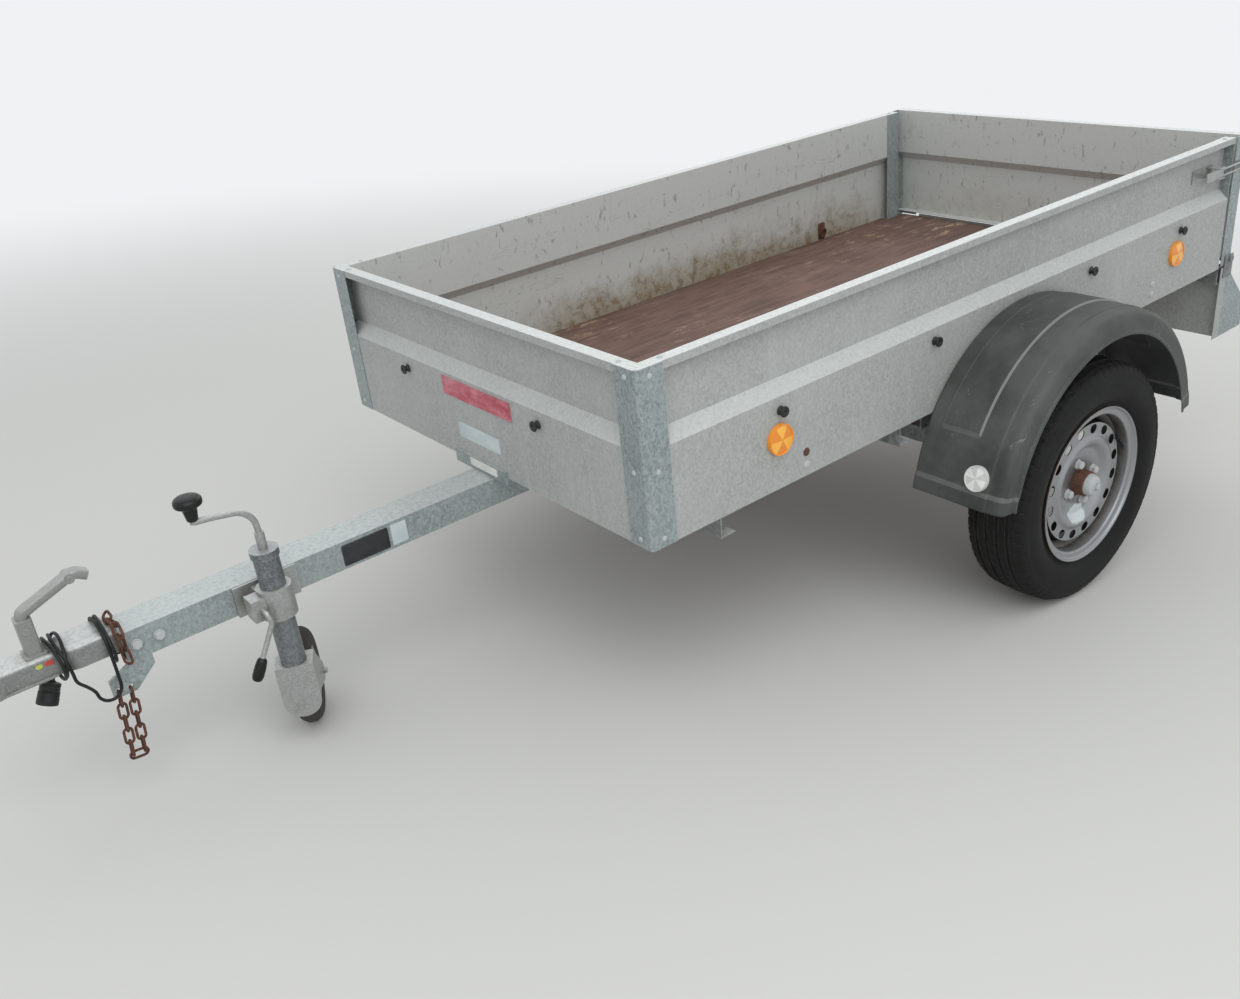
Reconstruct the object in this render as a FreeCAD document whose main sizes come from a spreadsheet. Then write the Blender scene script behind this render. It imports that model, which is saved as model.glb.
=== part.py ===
import FreeCAD, Part
import math
import os
import re
import Sketcher
from FreeCAD import Placement, Rotation, Vector

# Utility trailer: a galvanised single-axle box trailer on its jockey wheel.
# Millimetres. Every piece is drawn level, with x forward from the load bed's front face,
# y to the left and z up from the wheels' axle line, and is then tilted nose down as one,
# until both tyres and the jockey wheel stand on z = 0.

doc = FreeCAD.newDocument("UtilityTrailer")
sheet = doc.addObject("Spreadsheet::Sheet", "Sizes")

# Driving sizes: alias, value, what it measures.
SIZES = [
    ("body_length", 2060, "load bed, front face to light panel"),
    ("body_width", 1120, "load bed over the corner posts"),
    ("wall_top", 582.5, "rim height above the axle line"),
    ("wall_bottom", 235, "walls' lower edge above the axle line"),
    ("ledge_high", 450, "upper edge of the walls' sloping ledge"),
    ("ledge_low", 425, "lower edge of the walls' sloping ledge"),
    ("wall_gauge", 2, "sheet of walls and tailgate"),
    ("rim_width", 27, "flat rim, and the depth of the recessed upper panel"),
    ("rim_lip", 15, "lip under the rim's outer edge"),
    ("floor_flange", 40, "walls' lower flange under the floor"),
    ("floor_thickness", 9, "plywood floor"),
    ("floor_play", 0.5, "gap round the floor"),
    ("post_gauge", 2, "sheet of the corner posts"),
    ("post_leg", 61, "width of a corner post's leg"),
    ("post_round", 9, "outer radius of a corner post"),
    ("jamb_leg", 50, "rear jamb's leg inside the side wall"),
    ("wall_short", 42, "side walls' rear end ahead of the light panel"),
    ("tailgate_gap", 7.5, "gap between jamb and tailgate"),
    ("tailgate_proud", 22, "tailgate's rear face behind the light panel"),
    ("tailgate_bottom", 256, "tailgate panel's lower edge"),
    ("tailgate_leg_bottom", 240, "lower end of the tailgate's end posts"),
    ("tailgate_flange", 30, "tailgate's lower flange"),
    ("pivot_proud", 11, "tailgate pivot behind the light panel"),
    ("pivot_height", 254, "tailgate pivot above the axle line"),
    ("pivot_radius", 5, "tailgate pivot bolt"),
    ("pivot_clearance", 0.4, "pivot bolt in its hole"),
    ("pivot_play", 0.5, "between tailgate end post and pivot tab"),
    ("tab_gauge", 3, "pivot tab"),
    ("tab_ahead", 27, "pivot tab ahead of its bolt"),
    ("tab_behind", 15, "pivot tab behind its bolt"),
    ("tab_above", 12, "pivot tab above its bolt"),
    ("tab_below", 50, "pivot tab below its bolt"),
    ("panel_bottom", 30, "light panel's lower edge"),
    ("panel_top", 233, "light panel's upper edge"),
    ("panel_flange", 28, "light panel's side flange"),
    ("guard_depth", 128, "lamp guard behind the light panel"),
    ("guard_top", 236, "upper end of the guard's slanted edge"),
    ("guard_fold", 22, "guard's folded edge"),
    ("guard_gauge", 2.5, "guard's sheet"),
    ("lamp_width", 236, "tail lamp"),
    ("lamp_height", 132, "tail lamp"),
    ("lamp_depth", 24, "tail lamp housing"),
    ("lens_depth", 26, "tail lamp lens"),
    ("lamp_inset", 34, "tail lamp's outer edge inside the load bed's side"),
    ("lamp_bottom", 62, "tail lamp's lower edge"),
    ("lamp_round", 12, "tail lamp's corners"),
    ("lens_rim", 3, "lamp housing's rim round the lens"),
    ("plate_half", 260, "half the rear plate's width"),
    ("plate_height", 112, "rear plate"),
    ("plate_depth", 8, "rear plate"),
    ("drawbar_width", 80, "box tube"),
    ("drawbar_height", 60, "box tube"),
    ("drawbar_gauge", 3, "box tube"),
    ("drawbar_top", 219, "drawbar's top above the axle line"),
    ("drawbar_front", 797, "drawbar's front end"),
    ("drawbar_rear", 1026, "drawbar's rear end, back from the front face"),
    ("member_first", 170, "first crossmember, back from the front face"),
    ("member_second", 690, "second crossmember, back from the front face"),
    ("member_third", 1560, "third crossmember, back from the front face"),
    ("member_height", 45, "crossmember"),
    ("member_flange", 36, "crossmember"),
    ("member_gauge", 2.5, "crossmember"),
    ("notch_play", 0.3, "crossmember notch round the drawbar"),
    ("axle_back", 1115, "wheel axle, back from the front face"),
    ("beam_side", 56, "square axle beam"),
    ("beam_gauge", 5, "square axle beam"),
    ("beam_inset", 115, "axle beam's end inside the load bed's side"),
    ("arm_reach", 123, "axle beam ahead of the stub axle"),
    ("arm_rise", 86, "axle beam above the stub axle"),
    ("arm_width", 30, "suspension arm"),
    ("arm_big", 37, "suspension arm's eye at the beam, radius"),
    ("arm_small", 27, "suspension arm's eye at the stub axle, radius"),
    ("stub_radius", 15, "stub axle"),
    ("bracket_gauge", 5, "axle brackets"),
    ("bracket_length", 136, "axle brackets along the bed"),
    ("wheel_outset", 134, "tyre centre outside the load bed's side"),
    ("wheel_inset", 30, "hub face outboard of the tyre centre"),
    ("tyre_radius", 285, "tyre"),
    ("tyre_half_width", 77, "tyre's section at its widest"),
    ("rim_radius", 184, "rim's flange"),
    ("rim_seat", 165.5, "rim's bead seat, radius"),
    ("rim_well", 146, "rim's drop centre, radius"),
    ("rim_gauge", 3.5, "rim's steel"),
    ("rim_half", 57.2, "rim's flanges from the tyre's centre plane"),
    ("rim_roll", 10, "rolled edge of the rim's flange"),
    ("vent_circle", 128, "circle of the disc's vent holes, radius"),
    ("vent_count", 16, "vent holes"),
    ("vent_width", 13, "vent hole across"),
    ("vent_length", 24, "vent hole along its circle"),
    ("bolt_circle", 50, "wheel bolts' circle, radius"),
    ("bolt_count", 4, "wheel bolts"),
    ("bolt_head", 9.5, "wheel bolt's head, radius"),
    ("hub_radius", 34, "hub"),
    ("hub_flange", 68, "hub's flange, radius"),
    ("cap_radius", 29, "grease cap's foot, radius"),
    ("cap_length", 53, "grease cap's tip outboard of the hub's face"),
    ("hub_clearance", 0.4, "stub axle in the hub"),
    ("guard_radius", 390, "mudguard's outer radius"),
    ("guard_rise", 20, "mudguard's centre above the axle"),
    ("guard_wall", 3, "mudguard's plastic"),
    ("guard_outset", 225, "mudguard's outer edge outside the load bed's side"),
    ("guard_lip", 56, "mudguard's outer lip, depth"),
    ("guard_inner_lip", 26, "mudguard's inner lip, depth"),
    ("guard_crown", 22, "mudguard's rounded outer corner"),
    ("guard_end", 80, "height of the mudguard's two ends"),
    ("reflector_radius", 32, "round side reflectors"),
    ("reflector_depth", 8, "round side reflectors"),
    ("reflector_first", 331, "front reflector, back from the front face"),
    ("reflector_last", 287, "rear reflector ahead of the light panel"),
    ("reflector_level", 340, "side reflectors above the axle line"),
    ("white_radius", 28, "round mudguard reflectors"),
    ("white_inset", 74, "mudguard reflector inside the mudguard's outer edge"),
    ("white_angle", 18.5, "mudguard reflector above the horizontal, degrees"),
    ("hook_radius", 11, "rope hook's head"),
    ("hook_depth", 14, "rope hook"),
    ("hook_level", 397, "rope hooks above the axle line"),
    ("hook_first", 337, "first rope hook, back from the front face"),
    ("hook_ahead", 317, "second rope hook ahead of the wheel axle"),
    ("hook_behind", 266, "third rope hook behind the wheel axle"),
    ("hook_last", 273, "last rope hook ahead of the light panel"),
    ("front_hook_right", 267, "front rope hook right of the centre line"),
    ("front_hook_left", 237, "front rope hook left of the centre line"),
    ("sign_right", 118, "front plate's right edge from the centre line"),
    ("sign_left", 142, "front plate's left edge from the centre line"),
    ("sign_bottom", 375, "front plate's lower edge"),
    ("sign_height", 42, "front plate"),
    ("sign_gauge", 1.5, "front plate"),
    ("bracket_right", 106, "front bracket's right edge from the centre line"),
    ("bracket_left", 91, "front bracket's left edge from the centre line"),
    ("bracket_rise", 30, "front bracket above the drawbar"),
    ("bracket_sheet", 4, "front bracket"),
    ("coupler_top", 229, "coupler neck's top above the axle line"),
    ("coupler_bottom", 187, "coupler's lower edge"),
    ("coupler_gauge", 4, "coupler's pressed steel"),
    ("coupler_step", 872, "where the coupler's neck narrows"),
    ("coupler_half", 31, "coupler's half width ahead of the neck"),
    ("ball_ahead", 1010, "ball's centre ahead of the front face"),
    ("ball_height", 200, "ball's centre above the axle line"),
    ("ball_radius", 25, "towing ball"),
    ("ball_clearance", 0.6, "ball in its socket"),
    ("dome_radius", 38, "coupler's nose"),
    ("coupler_round", 8, "coupler's upper edges"),
    ("coupler_flange", 4, "coupler's bent lower edge"),
    ("shank_length", 70, "coupler's shank inside the drawbar"),
    ("bolt_spread", 42, "between the coupler's two bolts"),
    ("bolt_setback", 22, "coupler's front bolt behind the drawbar's end"),
    ("bolt_level", 189, "coupler's bolts above the axle line"),
    ("bolt_radius", 10, "coupler's bolt heads"),
    ("bolt_height", 8, "coupler's bolt heads"),
    ("handle_rear", 908, "coupler handle's base plate, rear end ahead of the front face"),
    ("handle_base", 38, "coupler handle's base plate"),
    ("handle_half", 13, "half the coupler handle's width"),
    ("handle_thick", 18, "coupler handle's lever"),
    ("handle_boss", 14, "coupler handle's boss, radius"),
    ("handle_bore", 5.5, "coupler handle's bore, radius"),
    ("jockey_ahead", 527, "jockey tube's axis ahead of the front face"),
    ("jockey_side", 88, "jockey tube's axis from the centre line"),
    ("jockey_top", 296, "jockey tube's top above the axle line"),
    ("jockey_radius", 24, "jockey tube"),
    ("jockey_gauge", 3, "jockey tube"),
    ("inner_radius", 20.4, "jockey's inner tube"),
    ("jockey_wheel_radius", 97.5, "jockey wheel"),
    ("jockey_wheel_width", 48, "jockey wheel"),
    ("jockey_tread", 8, "half the flat of the jockey wheel's tread"),
    ("jockey_trail", 85, "jockey axle behind the tube's axis"),
    ("jockey_swing", 243, "direction in which the jockey wheel trails, degrees"),
    ("fork_gauge", 4, "fork's plate"),
    ("fork_half", 36, "fork's half width"),
    ("fork_crown", 86, "fork's crown above the jockey axle"),
    ("fork_bottom", 26, "fork's rounded front below the jockey axle"),
    ("fork_ear", 22, "lower edge of the fork's arms above the jockey axle, at the front"),
    ("fork_boss", 20, "fork's eyes round the jockey axle, radius"),
    ("jockey_bore", 6.4, "jockey wheel's bore, radius"),
    ("jockey_pin", 6, "jockey axle, radius"),
    ("stem_length", 240, "jockey's inner tube above the fork"),
    ("cap_height", 14, "cap on the jockey tube"),
    ("cap_wall", 3, "cap on the jockey tube"),
    ("clamp_low", 156, "jockey clamp's lower edge above the axle line"),
    ("clamp_height", 62, "jockey clamp"),
    ("clamp_wall", 9, "jockey clamp's ring round the tube"),
    ("clamp_plate", 6, "jockey clamp's plate on the drawbar"),
    ("clamp_plate_half", 63, "half the jockey clamp's plate"),
    ("clamp_neck_half", 29, "half the jockey clamp's neck"),
    ("clamp_boss_reach", 54, "jockey clamp's lever boss ahead of the tube's axis"),
    ("clamp_boss_half", 18, "half the lever boss's width"),
    ("knuckle_height", 34, "crank's knuckle above the jockey tube"),
    ("knuckle_wall", 3, "crank's knuckle round its rod"),
    ("crank_radius", 6, "jockey's crank rod"),
    ("crank_reach", 105, "crank knob ahead of the tube's axis"),
    ("crank_rise", 94, "crank rod above the tube's top"),
    ("knob_radius", 23, "crank's knob"),
    ("knob_height", 30, "crank's knob"),
    ("knob_stem", 18, "pin between crank rod and knob"),
    ("clamp_rod", 5, "clamp lever, radius"),
    ("clamp_grip", 11, "clamp lever's grip, radius"),
    ("catch_length", 96, "tailgate catch's base plate"),
    ("catch_height", 32, "tailgate catch's base plate"),
    ("catch_gauge", 3, "tailgate catch's base plate"),
    ("catch_ahead", 102, "catch's base plate, rear end ahead of the light panel"),
    ("catch_handle", 82, "tailgate catch's handle"),
    ("catch_ear", 30, "tailgate catch's ears"),
    ("catch_level", 508, "catch above the axle line"),
    ("bail_radius", 2.5, "catch's wire bail"),
    ("bail_gap", 5, "bail clear of the tailgate's end post"),
    ("nose_down", 5.2, "tilt of the parked trailer, degrees"),
    ("seat_gap", 0.3, "running gap between pieces that nearly touch"),
    ("lug_gauge", 5, "safety chain's lug"),
    ("lug_drop", 58, "lug below the drawbar"),
    ("lug_ahead", 42, "lug ahead of the drawbar's end"),
    ("lug_hole", 5, "lug's holes, radius"),
    ("lug_edge", 12, "lug's holes above its lower edge"),
    ("chain_wire", 5, "chain link's wire"),
    ("chain_inside", 27, "chain link's inner length"),
    ("chain_width", 20, "chain link's outer width"),
    ("chain_round", 5.5, "chain link's bevelled ends"),
    ("chain_play", 0.3, "between two links"),
    ("chain_strand", 5, "links in each hanging strand"),
    ("cable_radius", 3, "lighting cable"),
    ("cable_pitch", 6.6, "between two turns of the lighting cable"),
    ("cable_level", 166, "cable's way out of the drawbar, above the axle line"),
    ("plug_radius", 19, "lighting plug"),
    ("plug_length", 40, "lighting plug"),
    ("plug_boot", 12, "lighting plug's boot round the cable"),
]
# Places that follow the driving sizes.
PLACES = [
    ("wall_end", "body_length - wall_short"),
    ("tailgate_face", "body_length + tailgate_proud"),
    ("pivot_back", "body_length + pivot_proud"),
    ("lamp_edge", "body_width / 2 - lamp_inset - lamp_width"),
    ("beam_half", "body_width / 2 - beam_inset"),
    ("wheel_half_track", "body_width / 2 + wheel_outset"),
    ("guard_outside", "body_width / 2 + guard_outset"),
    ("catch_rear", "body_length - catch_ahead"),
]
ALIASES = {alias: "Sizes." + alias for alias, value, meaning in SIZES}
for row, (alias, value, meaning) in enumerate(SIZES, start=1):
    sheet.set("A%d" % row, meaning)
    sheet.set("B%d" % row, str(value))
    sheet.setAlias("B%d" % row, alias)
doc.recompute()


class Sheet:
    """The sheet's numbers and the places, for the pieces that a formula shapes."""

    def __getattr__(self, alias):
        return float(getattr(places, alias) if ALIASES[alias].startswith("Places") else sheet.get(alias))


S = Sheet()
WORD = re.compile(r"[a-z][a-z_]*")
TURN = {
    "XY": Rotation(),
    "XZ": Rotation(Vector(1, 0, 0), 90),
    "YZ": Rotation(Vector(1, 1, 1), 120),
}
NORMAL = {"XY": Vector(0, 0, 1), "XZ": Vector(0, -1, 0), "YZ": Vector(1, 0, 0)}
ACROSS = {"XY": "z", "XZ": "y", "YZ": "x"}
ALONG = {
    "X": Rotation(Vector(0, 1, 0), 90),
    "Y": Rotation(Vector(1, 0, 0), -90),
    "Z": Rotation(),
}
pieces = {}
twins = {}


def bound(text):
    """An expression in which each alias is read from the sheet or the places."""
    return WORD.sub(lambda word: ALIASES.get(word.group(), word.group()), text)


def bind(item, **sizes):
    """Ties properties of an object to expressions; x, y and z are its place."""
    for key, text in sizes.items():
        path = "Placement.Base." + key if key in ("x", "y", "z") else key
        item.setExpression(path, bound(text))
    return item


places = doc.addObject("App::VarSet", "Places")
for alias, text in PLACES:
    places.addProperty("App::PropertyFloat", alias)
    places.setExpression(alias, bound(text))
ALIASES.update({alias: "Places." + alias for alias, text in PLACES})
doc.recompute()


def line(name, plane, points, offset="0", closed=False):
    """A sketch of straight lines through points, each coordinate tied to the sheet."""
    item = doc.addObject("Sketcher::SketchObject", name)
    item.Placement = Placement(Vector(), TURN[plane])
    bind(item, **{ACROSS[plane]: offset})
    count = len(points) if closed else len(points) - 1
    for index in range(count):
        start = Vector(10 * index, 7 * (index % 2), 0)
        end = Vector(10 * index + 10, 7 * ((index + 1) % 2), 0)
        item.addGeometry(Part.LineSegment(start, end), False)
    for index in range(count - 1):
        item.addConstraint(Sketcher.Constraint("Coincident", index, 2, index + 1, 1))
    if closed:
        item.addConstraint(Sketcher.Constraint("Coincident", count - 1, 2, 0, 1))
    for index, place in enumerate(points):
        end = (index, 1) if index < count else (count - 1, 2)
        for kind, text in zip(("DistanceX", "DistanceY"), place):
            number = item.addConstraint(Sketcher.Constraint(kind, -1, 1, end[0], end[1], 1.0))
            item.setExpression("Constraints[%d]" % number, bound(text))
    return item


def thickened(name, base, value, join="Intersection"):
    """The face between a line and its parallel."""
    item = doc.addObject("Part::Offset2D", name)
    item.Source = base
    item.Mode = "Skin"
    item.Join = join
    item.Fill = True
    item.Value = 1
    return bind(item, Value=value)


def extruded(name, base, plane, forward, back="0"):
    item = doc.addObject("Part::Extrusion", name)
    item.Base = base
    item.DirMode = "Custom"
    item.Dir = NORMAL[plane]
    item.Solid = True
    return bind(item, LengthFwd=forward, LengthRev=back)


def folded(name, plane, points, gauge, forward, back="0", offset="0"):
    """Folded sheet: a line with a thickness on its right, or its left where gauge is negative."""
    path = line(name + "Line", plane, points, offset)
    doc.recompute()
    value = "-(%s)" % gauge if plane == "XZ" else gauge
    return extruded(name, thickened(name + "Section", path, value), plane, forward, back)


def plate(name, plane, points, forward, back="0", offset="0"):
    """A closed outline drawn out to a thickness."""
    return extruded(name, line(name + "Outline", plane, points, offset, closed=True), plane, forward, back)


def box(name, x, y, z):
    """A box between two expressions on each axis."""
    item = doc.addObject("Part::Box", name)
    bind(item, x=x[0], y=y[0], z=z[0])
    sizes = {"Length": x, "Width": y, "Height": z}
    return bind(item, **{key: "(%s) - (%s)" % (high, low) for key, (low, high) in sizes.items()})


def rounded_box(name, x, y, z, radius):
    """A box whose edges along x are rounded."""
    base = box(name + "Box", x, y, z)
    doc.recompute()
    item = doc.addObject("Part::Fillet", name)
    item.Base = base
    item.Edges = [(number, radius, radius) for number, edge in enumerate(base.Shape.Edges, start=1)
                  if abs(edge.tangentAt(edge.FirstParameter).x) > 0.9]
    return item


def rod(name, along, foot, radius, length):
    item = doc.addObject("Part::Cylinder", name)
    item.Placement = Placement(Vector(), ALONG[along])
    return bind(item, x=foot[0], y=foot[1], z=foot[2], Radius=radius, Height=length)


def cut(name, base, tool):
    item = doc.addObject("Part::Cut", name)
    item.Base = base
    item.Tool = tool
    return item


def common(name, base, tool):
    item = doc.addObject("Part::Common", name)
    item.Base = base
    item.Tool = tool
    return item


def fused(name, *items):
    item = doc.addObject("Part::MultiFuse", name)
    item.Shapes = list(items)
    return item


def together(name, *items):
    item = doc.addObject("Part::Compound", name)
    item.Links = list(items)
    return item


def mirrored(name, source):
    item = doc.addObject("Part::Mirroring", name)
    item.Source = source
    item.Normal = Vector(0, 1, 0)
    return item


def formed(name, shape):
    item = doc.addObject("Part::Feature", name)
    item.Shape = shape
    return item


def bent_wire(points, share=0.45):
    """Straight runs joined by tangent arcs, each as large as its two runs allow; prints the least radius."""
    corners = [Vector(*point) for point in points]
    edges = []
    last = corners[0]
    radii = []
    for before, here, after in zip(corners, corners[1:], corners[2:]):
        come = (here - before).normalize()
        leave = (after - here).normalize()
        cut_back = share * min(before.distanceToPoint(here), here.distanceToPoint(after))
        half_turn = come.getAngle(leave) / 2
        radius = cut_back / math.tan(half_turn)
        inward = (leave - come).normalize()
        start = here - come * cut_back
        end = here + leave * cut_back
        middle = here + inward * (radius / math.cos(half_turn) - radius)
        edges += [Part.LineSegment(last, start).toShape(), Part.Arc(start, middle, end).toShape()]
        radii.append(radius)
        last = end
    edges.append(Part.LineSegment(last, corners[-1]).toShape())
    return Part.Wire(edges), radii


def tube(points, radius):
    """A round bar or cable along bent_wire."""
    path, radii = bent_wire(points)
    start = Vector(*points[0])
    ring = Part.Wire([Part.makeCircle(radius, start, Vector(*points[1]) - start)])
    solid = path.makePipeShell([ring], True, False)
    print("tube: length %.1f, least radius %.1f, volume over section times length %.4f" % (
        path.Length, min(radii), solid.Volume / (math.pi * radius ** 2 * path.Length)))
    return solid


def piece(node, item):
    """Names the object that is the sub-part."""
    item.Label = node
    pieces[node] = item
    return item


def twin(node, source):
    """The mirror image of a sub-part on the other side; it follows its source's place."""
    item = mirrored(source.Name + "Twin", source)
    item.Label = node
    twins[node] = item
    return item


def pair(node, item):
    """A left piece and its mirror image as one sub-part of two solids."""
    return piece(node, together(item.Name + "Pair", item, mirrored(item.Name + "Other", item)))


# Walls. One profile goes round the bed: rim lip, rim, recessed upper panel, sloping ledge,
# lower panel and floor flange. Each line is the sheet's inner face, so that the rim's lip
# and the lower panel end flush on the outside.
def wall_profile(outer, sign, bottom, flange):
    """Points of the profile across the bed; sign is +1 where outward is positive."""
    way = {1: " - ", -1: " + "}[sign]
    face = "(" + outer + ")"
    return [
        (face, "wall_top - rim_lip"),
        (face, "wall_top"),
        (face + way + "rim_width", "wall_top"),
        (face + way + "rim_width", "ledge_high"),
        (face + way + "wall_gauge", "ledge_low"),
        (face + way + "wall_gauge", bottom + " + wall_gauge"),
        (face + way + flange, bottom + " + wall_gauge"),
    ]


def make_walls():
    side = "body_width / 2 - post_gauge"
    deep = "4 * rim_width"
    bevel = "(post_round - post_gauge)"
    blank = folded("SideBlank", "YZ", wall_profile(side, 1, "wall_bottom", "floor_flange"),
                   "-wall_gauge", "0", "wall_end")
    mitre = plate("SidePlan", "XY", [
        ("-post_gauge - " + bevel + " / 2", side + " - " + bevel + " / 2"),
        ("-post_gauge - " + deep, side + " - " + deep),
        ("-wall_end", side + " - " + deep),
        ("-wall_end", side),
        ("-post_gauge - " + bevel, side),
    ], "wall_top + wall_bottom")
    left = piece("wall_left", common("SideWall", blank, mitre))
    twin("wall_right", left)
    front = folded("FrontBlank", "XZ", wall_profile("-post_gauge", 1, "wall_bottom", "floor_flange"),
                   "-wall_gauge", "body_width / 2", "body_width / 2")
    plan = plate("FrontPlan", "XY", [
        ("-post_gauge", side + " - " + bevel),
        ("-post_gauge", "-(" + side + " - " + bevel + ")"),
        ("-post_gauge - " + bevel + " / 2", "-(" + side + " - " + bevel + " / 2)"),
        ("-post_gauge - " + deep, "-(" + side + " - " + deep + ")"),
        ("-post_gauge - " + deep, side + " - " + deep),
        ("-post_gauge - " + bevel + " / 2", side + " - " + bevel + " / 2"),
    ], "wall_top + wall_bottom")
    piece("wall_front", common("FrontWall", front, plan))


def angle_post(name, points, bottom):
    """An upright folded angle with a rounded corner, from a line inside its corner."""
    base = line(name + "Line", "XY", points, bottom)
    doc.recompute()
    height = "wall_top - (" + bottom + ")"
    outer = extruded(name + "Outer", thickened(name + "Full", base, "post_round", "Arc"), "XY", height)
    inner = extruded(name + "Inner",
                     thickened(name + "Core", base, "post_round - post_gauge", "Arc"), "XY", height)
    return cut(name, outer, inner)


def make_posts():
    half = "body_width / 2"
    pair("front_posts", angle_post("FrontPost", [
        ("-post_round", half + " - post_leg"),
        ("-post_round", half + " - post_round"),
        ("-post_leg", half + " - post_round"),
    ], "wall_bottom"))
    inner = half + " - post_gauge - rim_width"
    pair("rear_jambs", folded("RearJamb", "XY", [
        ("-wall_end + jamb_leg", inner + " - wall_gauge"),
        ("-wall_end - wall_gauge", inner + " - wall_gauge"),
        ("-wall_end - wall_gauge", half + " - post_gauge"),
    ], "wall_gauge", "wall_top - wall_bottom - wall_gauge", offset="wall_bottom + wall_gauge"))


def make_floor():
    """Plywood on the walls' flanges, notched at the rear for the jambs."""
    side = "(body_width / 2 - post_gauge - wall_gauge - floor_play)"
    slim = "(body_width / 2 - post_gauge - rim_width - wall_gauge - floor_play)"
    front = "-(post_gauge + wall_gauge + floor_play)"
    notch = "-(wall_end - jamb_leg - floor_play)"
    rear = "-(tailgate_face - tailgate_flange + floor_play)"
    piece("floor_panel", together("FloorPanel", plate("Plywood", "XY", [
        (front, side), (notch, side), (notch, slim), (rear, slim),
        (rear, "-" + slim), (notch, "-" + slim), (notch, "-" + side), (front, "-" + side),
    ], "floor_thickness", offset="wall_bottom + wall_gauge")))


# Crossmembers: place of the web behind the front face, whether the drawbar passes through, and top edge.
# The last one stands behind the walls' flanges and reaches up to the floor.
MEMBERS = [
    ("member_first", True, "wall_bottom"),
    ("member_second", True, "wall_bottom"),
    ("member_third", False, "wall_bottom"),
    ("(body_length - member_flange)", False, "(wall_bottom + wall_gauge)"),
]


def make_chassis():
    outer = box("DrawbarOuter", ("-drawbar_rear", "drawbar_front"),
                ("-drawbar_width / 2", "drawbar_width / 2"),
                ("drawbar_top - drawbar_height", "drawbar_top"))
    wide = "(drawbar_width / 2 - drawbar_gauge)"
    inner = box("DrawbarInner", ("-drawbar_rear - drawbar_gauge", "drawbar_front + drawbar_gauge"),
                ("-" + wide, wide),
                ("drawbar_top - drawbar_height + drawbar_gauge", "drawbar_top - drawbar_gauge"))
    piece("drawbar", fused("Drawbar", cut("DrawbarTube", outer, inner), chain_lug()))

    members = []
    notch_side = "(drawbar_width / 2 + notch_play)"
    for number, (back, notched, top) in enumerate(MEMBERS, start=1):
        web = "-" + back
        rear = "%s - member_flange" % web
        name = "Member%d" % number
        channel = folded(name + "Channel", "XZ", [
            (rear, top), (web, top),
            (web, "wall_bottom - member_height"), (rear, "wall_bottom - member_height"),
        ], "member_gauge", "body_width / 2 - post_gauge - wall_gauge",
            "body_width / 2 - post_gauge - wall_gauge")
        if notched:
            notch = box(name + "Notch", (rear + " - member_gauge", web + " + member_gauge"),
                        ("-" + notch_side, notch_side),
                        ("wall_bottom - 2 * member_height", "drawbar_top + notch_play"))
            channel = cut(name, channel, notch)
        members.append(channel)
    piece("crossmembers", together("Crossmembers", *members))

    beam_x = "(-axle_back + arm_reach)"
    half = "beam_side / 2"
    hollow = "(beam_side / 2 - beam_gauge)"
    solid = box("BeamOuter", (beam_x + " - " + half, beam_x + " + " + half), ("-beam_half", "beam_half"),
                ("arm_rise - " + half, "arm_rise + " + half))
    bore = box("BeamInner", (beam_x + " - " + hollow, beam_x + " + " + hollow),
               ("-beam_half - beam_gauge", "beam_half + beam_gauge"),
               ("arm_rise - " + hollow, "arm_rise + " + hollow))
    piece("axle_beam", cut("AxleBeam", solid, bore))

    beam_top = "(arm_rise + beam_side / 2)"
    start = beam_x + " - bracket_length / 2"
    pair("axle_brackets", folded("AxleBracket", "YZ", [
        ("beam_half - beam_side", beam_top + " + bracket_gauge"),
        ("beam_half - beam_side / 3", beam_top + " + bracket_gauge"),
        ("beam_half - beam_side / 3", "wall_bottom"),
        ("body_width / 2 - post_gauge - wall_gauge", "wall_bottom"),
    ], "bracket_gauge", "bracket_length", offset=start))
    under = "drawbar_top - drawbar_height"
    seat = "(drawbar_width / 2 + bracket_gauge)"
    wing = "(drawbar_width / 2 + beam_side / 2)"
    top = beam_top + " + bracket_gauge"
    piece("drawbar_saddle", folded("DrawbarSaddle", "YZ", [
        ("-" + wing, top), ("-" + seat + " + bracket_gauge", top), ("-" + seat + " + bracket_gauge", under),
        (seat + " - bracket_gauge", under), (seat + " - bracket_gauge", top), (wing, top),
    ], "bracket_gauge", "beam_side + bracket_gauge", offset=beam_x + " - beam_side / 2"))

    foot = "beam_half"
    big = rod("ArmBig", "Y", (beam_x, foot, "arm_rise"), "arm_big", "arm_width")
    small = rod("ArmSmall", "Y", ("-axle_back", foot, "0"), "arm_small", "arm_width")
    stub_length = "wheel_half_track + wheel_inset - beam_half"
    stub = rod("Stub", "Y", ("-axle_back", foot, "0"), "stub_radius", stub_length)
    web = arm_web()
    left = piece("suspension_arm_left", fused("ArmLeft", big, small, stub, web))
    twin("suspension_arm_right", left)


def arm_web():
    """The arm between its two eyes, inside their common tangents."""
    reach = math.hypot(S.arm_reach, S.arm_rise)
    lean = math.asin((S.arm_big - S.arm_small) / reach)
    turn = math.atan2(S.arm_rise, S.arm_reach)
    corners = []
    for side in (1, -1):
        across = turn + side * (math.pi / 2 - lean)
        for radius, x, z in ((S.arm_small, -S.axle_back, 0.0),
                             (S.arm_big, -S.axle_back + S.arm_reach, S.arm_rise)):
            corners.append(Vector(x + radius * math.cos(across), S.beam_half, z + radius * math.sin(across)))
    outline = [corners[0], corners[1], corners[3], corners[2], corners[0]]
    return formed("ArmWeb", Part.Face(Part.makePolygon(outline)).extrude(Vector(0, S.arm_width, 0)))


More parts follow.
